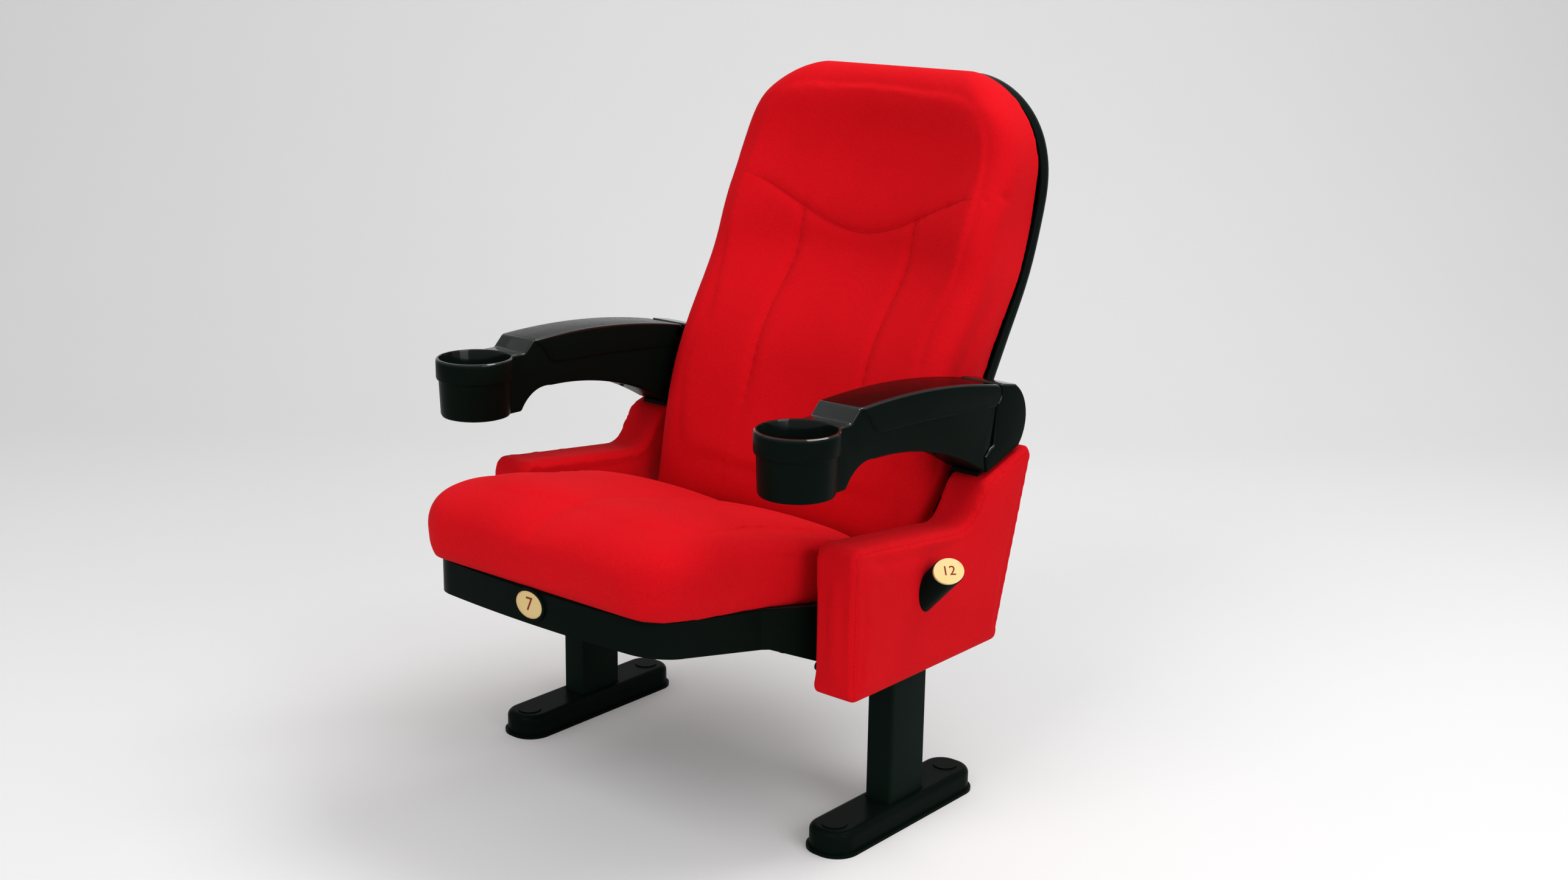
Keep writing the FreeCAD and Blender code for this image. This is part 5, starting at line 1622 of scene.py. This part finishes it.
@dataclass
class NumberPlates:
    """Plain numbers on the two gold plates."""

    seat_number: str = "7"
    row_number: str = "12"
    seat_size: float = 0.026
    row_size: float = 0.019
    face_turn: float = 40.0
    face_rise: float = 45.0
    relief: float = 0.0003

    def numeral(self, name: str, body: str, size: float, foot: Vector, out: Vector) -> bpy.types.Object:
        """A raised number on a plate.

        Args:
            name: the object's name.
            body: the figures.
            size: height of the type.
            foot: middle of the number, on the plate.
            out: the way that the plate faces.

        Returns:
            The number.
        """
        text = bpy.data.curves.new(name, "FONT")
        text.body = body
        text.size = size
        text.extrude = self.relief
        text.align_x = "CENTER"
        text.align_y = "CENTER"
        holder = bpy.data.objects.new(f"{name}_text", text)
        bpy.context.scene.collection.objects.link(holder)
        mesh = bpy.data.meshes.new_from_object(holder.evaluated_get(bpy.context.evaluated_depsgraph_get()))
        bpy.data.objects.remove(holder)
        across = Vector((0, 0, 1)).cross(out).normalized()
        turn = Matrix((across, out.cross(across), out)).transposed().to_4x4()
        mesh.transform(Matrix.Translation(foot) @ turn)
        return link_mesh(name, mesh)

    def build(self, frame: dict, palette: Palette) -> None:
        """Make both numbers.

        Args:
            frame: the loaded frame.
            palette: the chair's finishes.
        """
        rise, turn = math.radians(self.face_rise), math.radians(self.face_turn)
        level = math.cos(rise)
        upright = Vector((0, -1, 0))
        slanted = Vector((level * math.cos(turn), -level * math.sin(turn), math.sin(rise)))
        faces = {
            "seat_number": (self.seat_number, self.seat_size, "seat_number_plate", upright, Body.SEAT),
            "row_number": (self.row_number, self.row_size, "row_marker_plate", slanted, Body.STANDARDS),
        }
        for name, (figures, size, plate, out, body) in faces.items():
            points = coordinates(frame["nodes"][plate].data)
            reach = points @ np.array(out)
            face = points[reach > reach.max() - 1e-4]
            middle = (face.min(axis=0) + face.max(axis=0)) / 2
            piece = self.numeral(name, figures, size, Vector(middle), out)
            piece.data.materials.clear()
            piece.data.materials.append(palette.numeral)
            deliver(piece, body)


@dataclass
class Studio:
    """Pale sweep, soft lamps and the camera at the photograph's place."""

    eye: Place = (1.75292, -2.01314, 1.18712)
    azimuth: float = 39.548613
    elevation: float = 14.86881
    roll: float = 0.918121
    focal_pixels: float = 3257.3745
    image_width: float = 2576.0
    sensor: float = 36.0
    wall_y: float = 3.4
    bend: float = 1.6
    tone: float = 0.76
    ambient: float = 0.48
    beyond: float = 0.72
    half_width: float = 9.0
    front: float = -7.0
    top: float = 6.0
    lamps: tuple[tuple[str, Place, float, float], ...] = (
        ("high_key", (0.7, 1.1, 3.2), 1.5, 58.0), ("front_fill", (0.0, -3.1, 3.3), 2.4, 68.0),
        ("side_fill", (3.4, -0.6, 2.0), 2.0, 44.0))

    def camera(self) -> None:
        """Set the camera."""
        az, el, roll = (math.radians(v) for v in (self.azimuth, self.elevation, self.roll))
        back = Vector((math.sin(az) * math.cos(el), -math.cos(az) * math.cos(el), math.sin(el)))
        right = Vector((math.cos(az), math.sin(az), 0.0))
        up = back.cross(right)
        axis_x = right * math.cos(roll) + up * math.sin(roll)
        axis_y = up * math.cos(roll) - right * math.sin(roll)
        data = bpy.data.cameras.new("photograph")
        data.sensor_width = self.sensor
        data.lens = self.focal_pixels * self.sensor / self.image_width
        data.clip_end = 60.0
        holder = bpy.data.objects.new("photograph", data)
        bpy.context.scene.collection.objects.link(holder)
        turn = Matrix((axis_x, axis_y, back)).transposed().to_4x4()
        holder.matrix_world = Matrix.Translation(self.eye) @ turn
        bpy.context.scene.camera = holder

    def sweep(self) -> None:
        """Make the floor that runs up into the backdrop."""
        profile = [(self.front, 0.0), (self.wall_y - self.bend, 0.0)]
        profile += [(self.wall_y - self.bend + self.bend * math.sin(a), self.bend * (1 - math.cos(a)))
                    for a in np.linspace(0.1, math.pi / 2, 16)]
        profile.append((self.wall_y, self.top))
        form = bmesh.new()
        rows = [[form.verts.new((x, y, z)) for x in (-self.half_width, self.half_width)]
                for y, z in profile]
        for low, high in zip(rows, rows[1:]):
            form.faces.new((low[0], low[1], high[1], high[0]))
        mesh = bpy.data.meshes.new("studio_sweep")
        form.to_mesh(mesh)
        form.free()
        piece = link_mesh("studio_sweep", mesh)
        turn = Matrix.Rotation(math.radians(self.azimuth), 4, "Z")
        mesh.transform(turn)
        mesh.shade_smooth()
        graph = Graph("studio_paper")
        paper = graph.noise(graph.place(), 3.0, 2.0)
        tone = graph.blend(paper, (self.tone,) * 3, (self.tone * 0.985,) * 3)
        mesh.materials.append(graph.finish({"Base Color": tone, "Roughness": 0.9, "Specular IOR Level": 0.1}))

    def lamp(self, name: str, place: Place, size: float, power: float) -> None:
        """Set a square soft lamp that faces the chair.

        Args:
            name: the lamp's name.
            place: where it hangs.
            size: its side.
            power: its watts.
        """
        data = bpy.data.lights.new(name, "AREA")
        data.shape = "SQUARE"
        data.size = size
        data.energy = power
        holder = bpy.data.objects.new(name, data)
        bpy.context.scene.collection.objects.link(holder)
        holder.location = place
        holder.rotation_euler = (Vector((0.0, 0.0, 0.5)) - Vector(place)).to_track_quat("-Z", "Y").to_euler()

    def light(self) -> None:
        """Hang the lamps and set the world's even light."""
        world = bpy.data.worlds.new("studio_light")
        world.use_nodes = True
        tree = world.node_tree
        even = tree.nodes["Background"]
        even.inputs["Color"].default_value = (1.0, 1.0, 1.0, 1.0)
        even.inputs["Strength"].default_value = self.ambient
        seen = tree.nodes.new("ShaderNodeBackground")
        seen.inputs["Color"].default_value = (1.0, 1.0, 1.0, 1.0)
        seen.inputs["Strength"].default_value = self.beyond
        path = tree.nodes.new("ShaderNodeLightPath")
        choice = tree.nodes.new("ShaderNodeMixShader")
        shown = path.outputs["Is Camera Ray"]
        for kind in ("Is Glossy Ray", "Is Transmission Ray"):
            either = tree.nodes.new("ShaderNodeMath")
            either.operation = "MAXIMUM"
            tree.links.new(shown, either.inputs[0])
            tree.links.new(path.outputs[kind], either.inputs[1])
            shown = either.outputs[0]
        tree.links.new(shown, choice.inputs["Fac"])
        tree.links.new(even.outputs["Background"], choice.inputs[1])
        tree.links.new(seen.outputs["Background"], choice.inputs[2])
        tree.links.new(choice.outputs["Shader"], tree.nodes["World Output"].inputs["Surface"])
        bpy.context.scene.world = world
        for name, place, size, power in self.lamps:
            self.lamp(name, place, size, power)

    def build(self) -> None:
        """Set up the whole studio."""
        bpy.context.scene.view_settings.view_transform = "Standard"
        self.camera()
        self.sweep()
        self.light()


def main() -> None:
    """Build the chair's looks around its frame."""
    logging.basicConfig(level=logging.INFO, format="%(name)s: %(message)s")
    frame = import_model()
    Studio().build()
    palette = Palette().mix()
    palette.dress_frame(frame)
    stitches = StitchTree("stitch_row", palette.thread)
    BackCushion().build(frame, palette, stitches)
    TailFlap().build(palette)
    SeatCushion().build(frame, palette)
    for side in Side:
        SidePanel(side).build(palette, stitches)
        Armrest(side).build(palette)
        ArmHub(side).build(palette)
        LegColumn(side).build(palette)
    Fasteners().build(frame, ScrewTree("screw_row", palette.slots[Slot.BLACK_STEEL], palette.recess_shade))
    NumberPlates().build(frame, palette)


if __name__ == "__main__":
    main()
